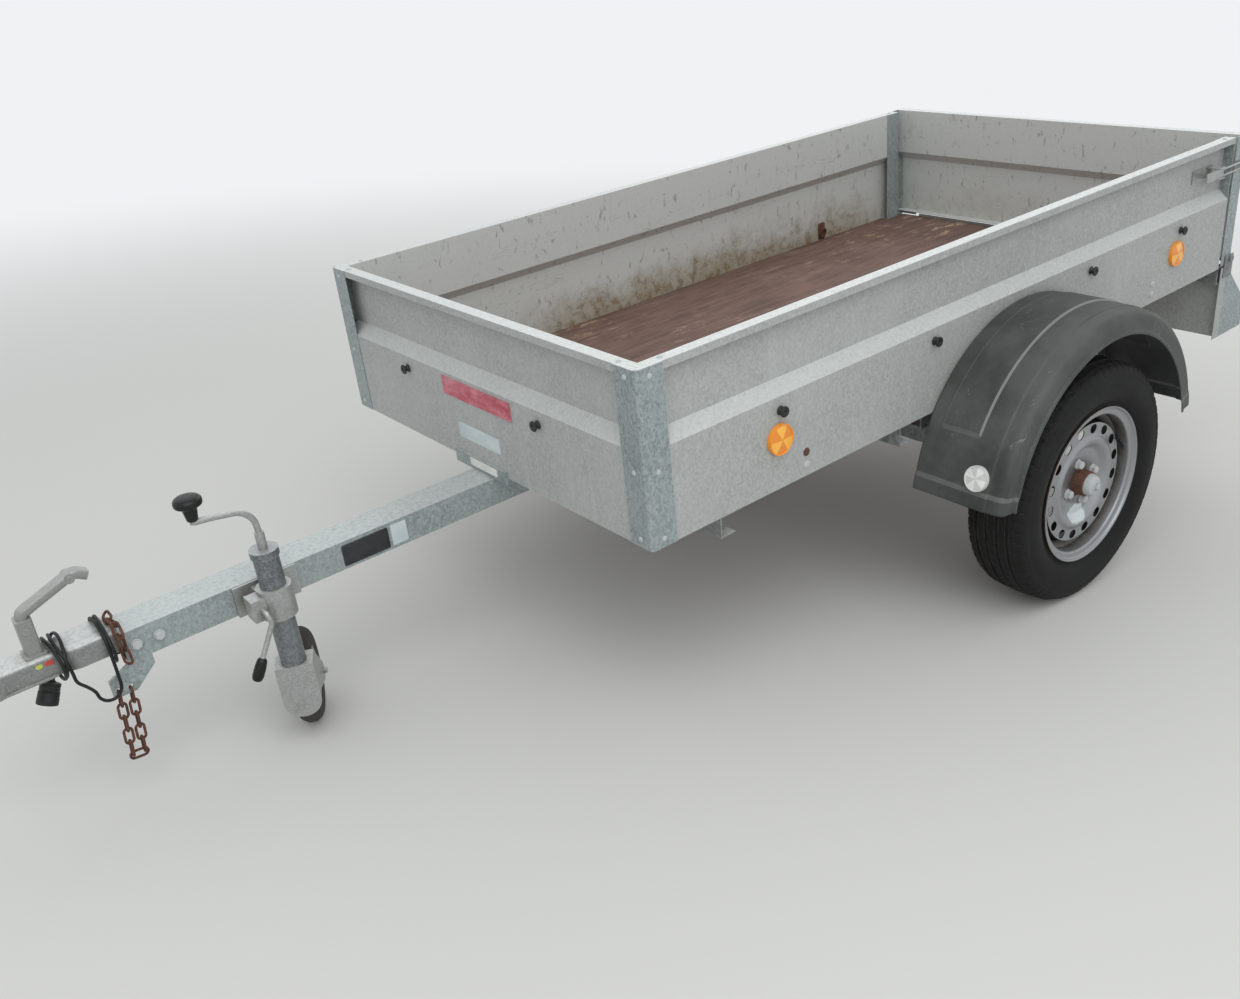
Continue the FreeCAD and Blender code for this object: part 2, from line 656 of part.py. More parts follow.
def make_rear():
    half = "body_width / 2"
    hinge_half = "(body_width / 2 + pivot_play)"
    face = "-(tailgate_face - post_gauge)"
    blank = folded("TailgateBlank", "XZ", [
        (face, "wall_top - rim_lip"), (face, "wall_top"),
        (face + " + rim_width", "wall_top"), (face + " + rim_width", "ledge_high"),
        (face + " + wall_gauge", "ledge_low"), (face + " + wall_gauge", "tailgate_bottom + wall_gauge"),
        (face + " + tailgate_flange", "tailgate_bottom + wall_gauge"),
    ], "wall_gauge", half + " - post_gauge", half + " - post_gauge")
    side = half + " - post_gauge"
    bevel = "(post_round - post_gauge)"
    plan = plate("TailgatePlan", "XY", [
        (face, side + " - " + bevel), (face + " + " + bevel, side),
        (face + " + 4 * rim_width", side), (face + " + 4 * rim_width", "-(" + side + ")"),
        (face + " + " + bevel, "-(" + side + ")"), (face, "-(" + side + " - " + bevel + ")"),
    ], "wall_top + wall_bottom")
    piece("tailgate_panel", common("TailgatePanel", blank, plan))
    post = angle_post("TailgatePost", [
        ("-wall_end - wall_gauge - tailgate_gap", half + " - post_round"),
        ("-tailgate_face + post_round", half + " - post_round"),
        ("-tailgate_face + post_round", half + " - post_leg"),
    ], "tailgate_leg_bottom")
    hole = rod("PivotHole", "Y", ("-pivot_back", half + " - post_leg", "pivot_height"),
               "pivot_radius + pivot_clearance", "post_leg + post_gauge")
    pair("tailgate_posts", cut("TailgatePostBored", post, hole))

    tab = box("PivotTab", ("-pivot_back - tab_behind", "-pivot_back + tab_ahead"),
              (hinge_half, hinge_half + " + tab_gauge"),
              ("pivot_height - tab_below", "pivot_height + tab_above"))
    pin = rod("PivotPin", "Y", ("-pivot_back", half + " - post_gauge", "pivot_height"),
              "pivot_radius", "post_gauge + pivot_play + tab_gauge")
    head = rod("PivotHead", "Y", ("-pivot_back", hinge_half + " + tab_gauge", "pivot_height"),
               "1.8 * pivot_radius", "pivot_radius")
    pair("tailgate_pivots", fused("TailgatePivot", tab, pin, head))

    rear = "-(body_length + wall_gauge)"
    piece("light_panel", folded("LightPanel", "XY", [
        (rear + " + panel_flange", hinge_half), (rear, hinge_half),
        (rear, "-" + hinge_half), (rear + " + panel_flange", "-" + hinge_half),
    ], "-wall_gauge", "panel_top - panel_bottom", offset="panel_bottom"))

    wing = plate("GuardWing", "XZ", [
        (rear, "panel_bottom"), (rear, "guard_top"),
        (rear + " - guard_depth", "guard_top - guard_depth"),
        (rear + " - guard_depth", "panel_bottom"),
    ], "guard_gauge", offset=hinge_half)
    lip = folded("GuardLip", "XZ", [
        (rear + " - guard_gauge", "guard_top - guard_gauge"),
        (rear + " - guard_depth", "guard_top - guard_depth"),
        (rear + " - guard_depth", "panel_bottom"),
    ], "-guard_gauge", "guard_fold", offset=hinge_half)
    pair("lamp_guards", fused("LampGuard", wing, lip))

    low = "lamp_bottom"
    pair("tail_lamps", rounded_box("TailLamp", (rear + " - lamp_depth", rear),
                                   ("lamp_edge", "lamp_edge + lamp_width"),
                                   (low, low + " + lamp_height"), S.lamp_round))
    depth = rear + " - lamp_depth"
    pair("tail_lenses", rounded_box("TailLens", (depth + " - lens_depth", depth),
                                    ("lamp_edge + lens_rim", "lamp_edge + lamp_width - lens_rim"),
                                    (low + " + lens_rim", low + " + lamp_height - lens_rim"),
                                    S.lamp_round - S.lens_rim))
    piece("rear_plate", together("RearPlate", box(
        "RearPlateSheet", (rear + " - plate_depth", rear), ("-plate_half", "plate_half"),
        (low + " + plate_depth", low + " + plate_depth + plate_height"))))


def jockey_stand():
    """Direction in which the jockey wheel trails, and its axle's height with both axles on one floor."""
    tilt = math.radians(S.nose_down)
    swing = math.radians(S.jockey_swing)
    ahead = S.jockey_ahead + S.jockey_trail * math.cos(swing)
    lean = math.asin(math.sin(tilt) * abs(math.sin(swing)))
    support = S.jockey_wheel_radius * math.cos(lean) + S.jockey_tread * math.sin(lean)
    height = (math.sin(tilt) * (S.axle_back + ahead) - S.tyre_radius + support) / math.cos(tilt)
    return swing, height


def make_jockey():
    swing, height = jockey_stand()
    crown = "(%.6f + fork_crown + fork_gauge + seat_gap)" % height
    axis = ("jockey_ahead", "jockey_side")
    outer = rod("JockeyTubeOuter", "Z", axis + (crown,), "jockey_radius", "jockey_top - " + crown)
    inner = rod("JockeyTubeInner", "Z", axis + (crown + " - fork_gauge",), "jockey_radius - jockey_gauge",
                "jockey_top - jockey_gauge + fork_gauge - " + crown)
    collar = rod("JockeyCap", "Z", axis + ("jockey_top - cap_height",),
                 "jockey_radius + cap_wall", "cap_height")
    piece("jockey_outer_tube", cut("JockeyTubeBored", fused("JockeyTubeSolid", outer, collar), inner))
    make_clamp()
    make_crank()
    make_clamp_lever()
    turned = Placement(Vector(S.jockey_ahead, S.jockey_side, height),
                       Rotation(Vector(0, 0, 1), math.degrees(swing)))
    make_fork().Placement = turned
    pin = rod("JockeyPin", "Y", ("jockey_trail", "-fork_half - bolt_height", "0"), "jockey_pin",
              "2 * (fork_half + bolt_height)")
    axle = piece("jockey_axle", together("JockeyAxle", pin))
    axle.Placement = turned
    wheel = piece("jockey_wheel", formed("JockeyWheelShape", jockey_wheel_shape()))
    wheel.Placement = turned.multiply(Placement(Vector(S.jockey_trail, 0, 0), Rotation()))


def make_clamp():
    """The ring round the jockey tube, its screw boss, its neck and the plate on the drawbar's side."""
    axis = ("jockey_ahead", "jockey_side")
    side = "drawbar_width / 2"
    high = "(clamp_low + clamp_height)"
    ring = rod("ClampRing", "Z", axis + ("clamp_low",), "jockey_radius + clamp_wall", "clamp_height")
    bore = rod("ClampBore", "Z", axis + ("clamp_low - clamp_wall",), "jockey_radius",
               "clamp_height + 2 * clamp_wall")
    boss = box("ClampBoss", ("jockey_ahead", "jockey_ahead + clamp_boss_reach"),
               ("jockey_side - clamp_boss_half", "jockey_side + clamp_boss_half"),
               ("clamp_low + clamp_wall", high + " - clamp_wall"))
    neck = box("ClampNeck", ("jockey_ahead - clamp_neck_half", "jockey_ahead + clamp_neck_half"),
               (side + " + clamp_plate", "jockey_side"), ("clamp_low + clamp_wall", high + " - clamp_wall"))
    wall = box("ClampPlate", ("jockey_ahead - clamp_plate_half", "jockey_ahead + clamp_plate_half"),
               (side, side + " + clamp_plate"), ("clamp_low", high))
    piece("jockey_clamp", cut("JockeyClamp", fused("ClampSolid", ring, boss, neck, wall), bore))


def make_fork():
    """A plate bent into a U, about the tube's axis, with x in the direction in which it trails.

    Its front is rounded below, its two arms taper to the axle's eyes, and the tube stands on its crown.
    """
    front = "-jockey_radius"
    low = "(fork_half - fork_bottom)"
    sheet_u = folded("ForkSheet", "XY", [
        ("jockey_trail + fork_boss", "fork_half"), (front, "fork_half"),
        (front, "-fork_half"), ("jockey_trail + fork_boss", "-fork_half"),
    ], "-fork_gauge", "fork_crown + fork_bottom", offset="-fork_bottom")
    shape = plate("ForkSide", "XZ", [
        (front, "-fork_bottom"), (front + " + fork_gauge", "-fork_bottom"),
        (front + " + fork_gauge", "fork_ear"), ("jockey_trail - 0.4 * fork_boss", "-0.9 * fork_boss"),
        ("jockey_trail + 0.9 * fork_boss", "0.4 * fork_boss"), ("jockey_radius + fork_gauge", "fork_crown"),
        (front, "fork_crown"),
    ], "fork_half", "fork_half")
    eyes = rod("ForkEyes", "Y", ("jockey_trail", "-fork_half", "0"), "fork_boss", "2 * fork_half")
    arms = common("ForkArms", sheet_u, fused("ForkSides", shape, eyes))
    upper = box("ForkUpper", (front, "jockey_trail + fork_boss"), ("-fork_half", "fork_half"),
                (low, "fork_crown"))
    round_end = rod("ForkRound", "X", (front, "0", low), "fork_half", "fork_gauge")
    lower_arms = box("ForkLowerArms", (front + " + fork_gauge", "jockey_trail + fork_boss"),
                     ("-fork_half", "fork_half"), ("-fork_bottom", low))
    bent = common("ForkBent", arms, fused("ForkFront", upper, round_end, lower_arms))
    top = box("ForkTop", (front, "jockey_radius + fork_gauge"), ("-fork_half", "fork_half"),
              ("fork_crown", "fork_crown + fork_gauge"))
    stem = rod("ForkStem", "Z", ("0", "0", "fork_crown"), "inner_radius", "stem_length")
    hole = rod("ForkHole", "Y", ("jockey_trail", "-2 * fork_half", "0"), "jockey_bore", "4 * fork_half")
    return piece("jockey_fork", cut("JockeyFork", fused("ForkSolid", bent, top, stem), hole))


def make_crank():
    """Crank rod on the jockey's spindle, bent forward to its mushroom knob."""
    top = S.jockey_top
    x, y = S.jockey_ahead, S.jockey_side
    knuckle = S.knuckle_height
    spindle = Part.makeCylinder(S.crank_radius + S.knuckle_wall, knuckle, Vector(x, y, top))
    knob_x = x + S.crank_reach
    high = top + S.crank_rise
    rod_solid = tube([(x, y, top + knuckle), (x + 2, y, top + 0.66 * S.crank_rise),
                      (x + 0.21 * S.crank_reach, y, high - 0.1 * S.crank_rise),
                      (x + 0.71 * S.crank_reach, y, high), (knob_x, y, high + 0.5 * S.crank_radius)],
                     S.crank_radius)
    stem = Part.makeCylinder(S.crank_radius, S.knob_stem + S.crank_radius, Vector(knob_x, y, high))
    piece("jockey_crank", formed("JockeyCrank", spindle.fuse([rod_solid, stem])))
    foot = high + S.knob_stem + S.crank_radius
    radius, height = S.knob_radius, S.knob_height
    section = [(0, 0), (0.6 * radius, 0), (0.62 * radius, 0.3 * height), (radius, 0.5 * height),
               (radius, 0.72 * height), (0.82 * radius, 0.93 * height), (0.45 * radius, height), (0, height)]
    corners = [Vector(x + S.crank_reach + across, y, foot + up) for across, up in section]
    knob = Part.Face(Part.makePolygon(corners + corners[:1])).revolve(
        Vector(knob_x, y, foot), Vector(0, 0, 1), 360)
    piece("jockey_knob", formed("JockeyKnob", knob))


def make_clamp_lever():
    """Tommy bar of the jockey's clamp, bent downwards, with its grip."""
    x = S.jockey_ahead + 0.66 * S.clamp_boss_reach
    y = S.jockey_side + S.clamp_boss_half
    level = S.clamp_low + 0.47 * S.clamp_height
    out = y + 3.8 * S.clamp_rod
    elbow, tip = (x - 4, out, level - 4 * S.clamp_rod), (x + 32, out, level - 17 * S.clamp_rod)
    bar = tube([(x, y, level), (x, y + 3 * S.clamp_rod, level), elbow, tip], S.clamp_rod)
    along = (Vector(*tip) - Vector(*elbow)).normalize()
    grip = Part.makeCylinder(S.clamp_grip, 4.2 * S.clamp_grip, Vector(*tip) - along * S.clamp_rod, along)
    grip = grip.makeFillet(S.clamp_grip * 0.5, [edge for edge in grip.Edges if edge.isClosed()])
    piece("jockey_clamp_lever", formed("ClampLever", bar.fuse(grip)))


def jockey_wheel_shape():
    """A solid rubber wheel on its axle, with a flat tread bevelled to its flanks."""
    half = S.jockey_wheel_width / 2
    radius = S.jockey_wheel_radius
    side = [(half + 6, S.jockey_bore), (half + 6, 0.2 * radius), (0.5 * half, 0.25 * radius),
            (0.5 * half, 0.5 * radius), (half, 0.54 * radius), (half, 0.86 * radius), (S.jockey_tread, radius)]
    return turned_section([(-along, up) for along, up in side] + side[::-1])


def turned_section(points):
    """Points (along the axle, radius) of a closed section, turned about the y axis."""
    corners = [Vector(0, along, radius) for along, radius in points]
    return Part.Face(Part.makePolygon(corners + corners[:1])).revolve(Vector(), Vector(0, 1, 0), 360)


def tyre_shape():
    half = S.tyre_half_width
    side = [(0.73 * half, S.rim_seat + S.seat_gap), (0.73 * half, 0.65 * S.tyre_radius),
            (half, 0.79 * S.tyre_radius), (0.74 * half, S.tyre_radius)]
    return turned_section(side + [(-along, radius) for along, radius in reversed(side)])


def parallel(points, gauge):
    """The points' line moved to its left by gauge, with mitred corners."""
    runs = [Vector(two[0] - one[0], two[1] - one[1], 0).normalize() for one, two in zip(points, points[1:])]
    lefts = [Vector(-run.y, run.x, 0) for run in runs]
    moved = []
    for here, before, after in zip(points, lefts[:1] + lefts, lefts + lefts[-1:]):
        shift = (before + after) * (gauge / (1 + before.dot(after)))
        moved.append((here[0] + shift.x, here[1] + shift.y))
    return moved


def rim_shape():
    """The rolled steel rim, the dished disc inside it and the disc's ring of vent holes."""
    edge = S.rim_half
    lip = edge + S.rim_roll
    gauge = S.rim_gauge
    outer = [(lip, S.rim_radius), (edge + 3, S.rim_radius - 3), (edge, S.rim_radius - 8),
             (edge, S.rim_seat), (26, S.rim_seat), (19, S.rim_well), (-12, S.rim_well),
             (-20, S.rim_seat), (-edge, S.rim_seat), (-edge, S.rim_radius - 8),
             (-edge - 3, S.rim_radius - 3), (-lip, S.rim_radius)]
    shell = turned_section(outer + parallel(outer, gauge)[::-1])
    face = S.wheel_inset + 4
    disc_line = [(8, S.rim_well - gauge), (face + 4, S.rim_well - gauge), (face + 9, S.rim_well - 11),
                 (face + 9, S.vent_circle - 11), (face + 16, 106), (face + 13, 94), (face, 80), (face, 30)]
    disc = turned_section(disc_line + parallel(disc_line, -4)[::-1])
    wheel = shell.fuse(disc)
    half = (S.vent_length - S.vent_width) / 2
    cutters = []
    for number in range(int(S.vent_count)):
        slot = Part.makeBox(2 * half, 60, S.vent_width, Vector(-half, 0, S.vent_circle - S.vent_width / 2))
        ends = [Part.makeCylinder(S.vent_width / 2, 60, Vector(way * half, 0, S.vent_circle), Vector(0, 1, 0))
                for way in (-1, 1)]
        cutter = slot.fuse(ends)
        cutter.rotate(Vector(), Vector(0, 1, 0), number * 360 / S.vent_count)
        cutters.append(cutter)
    return wheel.cut(cutters)


def hub_shape():
    """Hub, wheel bolts and grease cap, turned about y from the tyre's centre plane."""
    face = S.wheel_inset
    bore = S.stub_radius + S.hub_clearance
    inner = -(S.wheel_half_track - S.beam_half - S.arm_width - 8)
    cap, tip = S.cap_radius, face + S.cap_length
    body = turned_section([(inner, bore), (inner, S.hub_radius), (face - 12, S.hub_radius),
                           (face - 12, S.hub_flange), (face, S.hub_flange), (face, cap), (tip - 27, cap),
                           (tip - 19, 0.76 * cap), (tip - 7, 0.69 * cap), (tip - 5, 0.28 * cap),
                           (tip, 0.24 * cap), (tip, 0), (face + 6, 0), (face + 6, bore)])
    bolts = []
    for number in range(int(S.bolt_count)):
        turn = math.radians(number * 360 / S.bolt_count - 16)
        foot = Vector(S.bolt_circle * math.cos(turn), face + 4, S.bolt_circle * math.sin(turn))
        bolts.append(Part.makeCylinder(S.bolt_head, 1.4 * S.bolt_head, foot, Vector(0, 1, 0)))
    return Part.makeCompound([body] + bolts)


def make_wheels():
    shapes = {"tyre": tyre_shape(), "rim": rim_shape(), "hub": hub_shape()}
    for side, way in (("left", 1), ("right", -1)):
        for name, shape in shapes.items():
            item = formed("Wheel" + side.title() + name.title(), shape)
            turn = Rotation() if way > 0 else Rotation(Vector(0, 0, 1), 180)
            item.Placement = Placement(Vector(-S.axle_back, way * S.wheel_half_track, 0), turn)
            piece("wheel_%s_%s" % (side, name), item)


def make_mudguards():
    inside = S.body_width / 2 - S.post_gauge
    wall = S.guard_wall
    radius = S.guard_radius
    crown = S.guard_crown
    low = Vector(0, S.guard_outside, radius - S.guard_lip)
    pulled_in = crown * (1 - math.sqrt(0.5))
    outer = [
        Part.LineSegment(Vector(0, inside, radius - S.guard_inner_lip), Vector(0, inside, radius)),
        Part.LineSegment(Vector(0, inside, radius), Vector(0, S.guard_outside - crown, radius)),
        Part.Arc(Vector(0, S.guard_outside - crown, radius),
                 Vector(0, S.guard_outside - pulled_in, radius - pulled_in),
                 Vector(0, S.guard_outside, radius - crown)),
        Part.LineSegment(Vector(0, S.guard_outside, radius - crown), low),
    ]
    path = Part.Wire([edge.toShape() for edge in outer])
    section = path.makeOffset2D(wall, 2, True, True)
    if section.BoundBox.ZMax > radius + wall / 2:
        section = path.makeOffset2D(-wall, 2, True, True)
    end = math.degrees(math.asin((S.guard_end - S.guard_rise) / radius))
    section.rotate(Vector(), Vector(0, 1, 0), -(90 - end))
    shape = section.revolve(Vector(), Vector(0, 1, 0), 180 - 2 * end)
    shape.translate(Vector(-S.axle_back, 0, S.guard_rise))
    left = piece("mudguard_left", formed("MudguardLeft", shape))
    twin("mudguard_right", left)
    turn = math.radians(S.white_angle)
    out = Vector(math.cos(turn), 0, math.sin(turn))
    foot = Vector(-S.axle_back, S.guard_outside - S.white_inset, S.guard_rise) + out * radius
    disc = Part.makeCylinder(S.white_radius, S.reflector_depth, foot, out)
    pair("mudguard_reflectors", formed("WhiteReflector", disc))


def make_side_fittings():
    face = "body_width / 2 - post_gauge"
    reflectors = []
    for number, back in enumerate(("reflector_first", "(body_length - reflector_last)"), start=1):
        one = rod("Amber%d" % number, "Y", ("-" + back, face, "reflector_level"), "reflector_radius",
                  "reflector_depth")
        reflectors += [one, mirrored("AmberOther%d" % number, one)]
    piece("side_reflectors", together("SideReflectors", *reflectors))
    hooks = []
    spots = ("hook_first", "(axle_back - hook_ahead)", "(axle_back + hook_behind)",
             "(body_length - hook_last)")
    for number, back in enumerate(spots, start=1):
        one = rope_hook("Hook%d" % number, "Y", ("-" + back, face, "hook_level"))
        hooks += [one, mirrored("HookOther%d" % number, one)]
    for number, side in enumerate(("-front_hook_right", "front_hook_left"), start=1):
        hooks.append(rope_hook("FrontHook%d" % number, "X", ("-post_gauge", side, "hook_level")))
    piece("rope_hooks", together("RopeHooks", *hooks))
    piece("front_plate", together("FrontPlate", box(
        "FrontPlateSheet", ("-post_gauge", "-post_gauge + sign_gauge"), ("-sign_right", "sign_left"),
        ("sign_bottom", "sign_bottom + sign_height"))))
    piece("front_bracket", together("FrontBracket", box(
        "FrontBracketSheet", ("-post_gauge", "-post_gauge + bracket_sheet"),
        ("-bracket_right", "bracket_left"), ("drawbar_top", "drawbar_top + bracket_rise"))))


def rope_hook(name, along, foot):
    """A button-headed hook: a stem and a wider head, both from the panel outwards."""
    stem = rod(name + "Stem", along, foot, "hook_radius / 2", "hook_depth")
    head_foot = [text + " + hook_depth / 2" if axis == along else text for axis, text in zip("XYZ", foot)]
    head = rod(name + "Head", along, head_foot, "hook_radius", "hook_depth / 2")
    return fused(name, stem, head)


def make_catches():
    """Over-centre catches on the recessed side panels; each wire bail reaches round the tailgate's post."""
    face = S.body_width / 2 - S.post_gauge - S.rim_width + S.wall_gauge
    rear = -S.catch_rear
    level = S.catch_level
    half = S.catch_height / 2
    base = Part.makeBox(S.catch_length, S.catch_gauge, S.catch_height, Vector(rear, face, level - half))
    ear_y = face + S.catch_gauge
    out = S.body_width / 2 + S.bail_gap + S.bail_radius
    ears = []
    for way in (-1, 1):
        ear = Part.makeBox(S.catch_ear, out + 4 - ear_y, S.catch_gauge,
                           Vector(rear, ear_y, level + way * (half - S.catch_gauge) - S.catch_gauge / 2))
        ears.append(ear)
    pin = Part.makeCylinder(3, 2 * half, Vector(rear + 8, out, level - half))
    handle = Part.makeBox(S.catch_handle, 4, 0.7 * S.catch_height,
                          Vector(rear + 5, out - 2, level - 0.35 * S.catch_height))
    half_bail = half - 8
    end = -S.pivot_back
    bail = tube([(rear + 9.5, out, level + half_bail), (end + 16, out, level + half_bail),
                 (end, out, level + half_bail - 4), (end, out, level - half_bail + 4),
                 (end + 16, out, level - half_bail), (rear + 9.5, out, level - half_bail)], S.bail_radius)
    pair("catches", formed("Catch", base.fuse(ears + [pin, handle, bail])))


def make_coupler():
    make_coupler_body()
    make_coupler_handle()
    heads = []
    for number, setback in enumerate(("bolt_setback", "(bolt_setback + bolt_spread)"), start=1):
        head = rod("CouplerBolt%d" % number, "Y",
                   ("drawbar_front - " + setback, "drawbar_width / 2", "bolt_level"),
                   "bolt_radius", "bolt_height")
        heads += [head, mirrored("CouplerBoltOther%d" % number, head)]
    piece("coupler_bolts", together("CouplerBolts", *heads))


def make_coupler_body():
    """Pressed steel: a neck as wide as the drawbar, narrowed to the ball's nose, on a shank inside it."""
    shank = box("Shank", ("drawbar_front - shank_length", "drawbar_front"),
                ("-(drawbar_width / 2 - drawbar_gauge)", "drawbar_width / 2 - drawbar_gauge"),
                ("coupler_bottom", "drawbar_top - drawbar_gauge"))
    outside = plate("CouplerOutside", "XY", neck_outline("0"), "coupler_top - coupler_bottom",
                    offset="coupler_bottom")
    doc.recompute()
    pressed = doc.addObject("Part::Fillet", "CouplerPressed")
    pressed.Base = outside
    pressed.Edges = [(number, S.coupler_round, S.coupler_round)
                     for number, edge in enumerate(outside.Shape.Edges, start=1)
                     if abs(edge.CenterOfMass.z - S.coupler_top) < 1e-6 and abs(edge.CenterOfMass.y) > 1]
    flange = plate("CouplerFlange", "XY", neck_outline("coupler_flange"), "coupler_gauge",
                   offset="coupler_bottom")
    clear = box("FlangeClear", ("drawbar_front", "handle_rear"), ("-drawbar_width", "drawbar_width"),
                ("coupler_bottom - coupler_gauge", "coupler_bottom + 2 * coupler_gauge"))
    slim = "(coupler_half - coupler_gauge)"
    hollow = box("CouplerHollow", ("drawbar_front + coupler_gauge", "ball_ahead - dome_radius"),
                 ("-" + slim, slim), ("coupler_bottom - coupler_gauge", "coupler_top - coupler_gauge"))
    dome = doc.addObject("Part::Sphere", "Dome")
    bind(dome, x="ball_ahead", z="ball_height", Radius="dome_radius")
    nose = rod("Nose", "Z", ("ball_ahead", "0", "coupler_bottom"), "dome_radius",
               "ball_height - coupler_bottom")
    trim = box("DomeTrim", ("ball_ahead - 2 * dome_radius", "ball_ahead + 2 * dome_radius"),
               ("-2 * dome_radius", "2 * dome_radius"),
               ("coupler_bottom - 2 * dome_radius", "coupler_bottom"))
    ball_seat = "(ball_radius + ball_clearance)"
    ball = doc.addObject("Part::Sphere", "BallSeat")
    bind(ball, x="ball_ahead", z="ball_height", Radius=ball_seat)
    mouth = rod("BallMouth", "Z", ("ball_ahead", "0", "coupler_bottom - coupler_gauge"), ball_seat,
                "ball_height - coupler_bottom + coupler_gauge")
    pressing = fused("CouplerPressing", pressed, cut("FlangeTrimmed", flange, clear))
    shell = cut("CouplerShell", pressing, hollow)
    hollowed = fused("CouplerVoids", trim, ball, mouth)
    piece("coupler_body", cut("Coupler", fused("CouplerSolid", shell, shank, dome, nose), hollowed))


def neck_outline(extra):
    """The neck seen from above, each side moved out by extra."""
    wide = "(drawbar_width / 2 + %s)" % extra
    slim = "(coupler_half + %s)" % extra
    left = [("drawbar_front", wide), ("coupler_step", wide),
            ("coupler_step + 0.8 * coupler_half", slim), ("ball_ahead", slim)]
    return left + [(ahead, "-" + side) for ahead, side in reversed(left)]


def make_coupler_handle():
    """A base plate on the coupler and the lever bent back over it, with a bored boss at its elbow."""
    base = box("HandleBase", ("handle_rear", "handle_rear + handle_base"),
               ("-1.6 * handle_half", "1.6 * handle_half"), ("coupler_top", "coupler_top + coupler_gauge"))
    front = "handle_rear + 0.75 * handle_base"
    lever = folded("Lever", "XZ", [
        (front, "coupler_top"), (front, "coupler_top + 4.7 * handle_thick"),
        ("handle_rear - 2.2 * handle_base", "coupler_top + 7.1 * handle_thick"),
        ("handle_rear - 2.7 * handle_base", "coupler_top + 6.4 * handle_thick"),
    ], "-handle_thick", "handle_half", "handle_half")
    spot = ("handle_rear + 0.4 * handle_base", "-1.2 * handle_half", "coupler_top + 4.1 * handle_thick")
    boss = rod("LeverBoss", "Y", spot, "handle_boss", "2.4 * handle_half")
    bore = rod("LeverBore", "Y", spot, "handle_bore", "2.4 * handle_half")
    piece("coupler_handle", cut("CouplerHandle", fused("HandleSolid", base, lever, boss), bore))


def link_shape():
    """A chain link as a bevelled ring of square wire, about its middle, with its length along x."""
    half, wire = S.chain_inside / 2, S.chain_wire
    faces = []
    for long, wide, bevel in ((half + wire, S.chain_width / 2, S.chain_round),
                              (half, S.chain_width / 2 - wire, S.chain_round - 0.6 * wire)):
        quarter = [(long, wide - bevel), (long - bevel, wide)]
        corners = (quarter + [(-x, y) for x, y in quarter[::-1]]
                   + [(-x, -y) for x, y in quarter] + [(x, -y) for x, y in quarter[::-1]])
        spots = [Vector(x, y, -wire / 2) for x, y in corners]
        faces.append(Part.Face(Part.makePolygon(spots + spots[:1])))
    return faces[0].cut(faces[1]).extrude(Vector(0, 0, wire))


def make_chain():
    """Two strands hang plumb from the lug's holes and share their lowest link, which lies level."""
    bar = S.chain_inside + S.chain_wire
    grip = S.chain_wire + S.chain_play
    pitch = bar - grip
    link = link_shape()
    plumb = hanging()
    links = []
    drop = math.sqrt((S.lug_hole - S.chain_play) ** 2 - (S.chain_wire / 2) ** 2) - S.chain_wire / 2
    for side in (0, 1):
        for number in range(int(S.chain_strand)):
            one = link.copy()
            roll = 90 if number % 2 == 0 else 0
            one.Placement = plumb.multiply(Placement(
                Vector(side * (bar - 2 * grip), 0, -drop - bar / 2 - number * pitch),
                Rotation(Vector(0, 1, 0), 90).multiply(Rotation(Vector(1, 0, 0), 90 + roll))))
            links.append(one)
    lowest = link.copy()
    depth = -drop - bar - (S.chain_strand - 1) * pitch
    middle = Vector(bar / 2 - grip, 0, depth)
    lowest.Placement = plumb.multiply(Placement(middle, Rotation(Vector(1, 0, 0), 90)))
    piece("safety_chain", formed("SafetyChain", Part.makeCompound(links + [lowest])))


def hanging():
    """A frame at the lug's rear hole whose z is plumb once the trailer is tilted."""
    side = S.drawbar_width / 2 - S.lug_gauge / 2
    under = S.drawbar_top - S.drawbar_height - S.lug_drop + S.lug_edge
    return Placement(Vector(S.drawbar_front + S.lug_hole + S.lug_gauge, side, under),
                     Rotation(Vector(0, 1, 0), -S.nose_down))


def chain_lug():
    """The galvanised lug under the drawbar's end, with a hole for each strand."""
    rear = S.drawbar_front - S.lug_ahead
    front = S.drawbar_front + S.lug_ahead
    under = S.drawbar_top - S.drawbar_height
    low = under - S.lug_drop
    inner = S.drawbar_width / 2 - S.lug_gauge
    outline = [(rear, under), (S.drawbar_front, under), (front, under - 0.35 * S.lug_drop), (front, low),
               (S.drawbar_front, low), (rear, under - 0.35 * S.lug_drop)]
    corners = [Vector(x, inner, z) for x, z in outline]
    lug = Part.Face(Part.makePolygon(corners + corners[:1])).extrude(Vector(0, S.lug_gauge, 0))
    between_strands = S.chain_inside + S.chain_wire - 2 * (S.chain_wire + S.chain_play)
    for across in (0, between_strands):
        spot = hanging().multVec(Vector(across, -S.lug_gauge, 0))
        lug = lug.cut(Part.makeCylinder(S.lug_hole, 2 * S.lug_gauge, spot, Vector(0, 1, 0)))
    return formed("ChainLug", lug)


# Where the lighting cable is wound round the coupler's neck: turns, first turn's place ahead of the
# front face, half width and half height of the turns' centre line, height of their centre, and each
# straight end of the cable there as its turn, counted from the rear, and its side, left being 1.
COILS = [
    (2, 815.5, 54, 38, 204.0, [(1, 1)]),
    (3, 888.0, 47, 37, 206.0, [(0, 1), (2, -1)]),
]
# The cable's loop between the two coils, and its way on to the plug.
LOOP = [(822.1, 54, 186), (822.1, 54.5, 166), (822.6, 55, 146), (823, 56, 127), (835, 59, 115),
        (852, 60, 115), (864, 59, 127), (865, 58, 142), (876, 51, 156), (888, 47, 168), (888, 47, 186)]
DROP = [(901.2, -47, 186), (901.2, -47, 168), (910.5, -42.5, 152)]


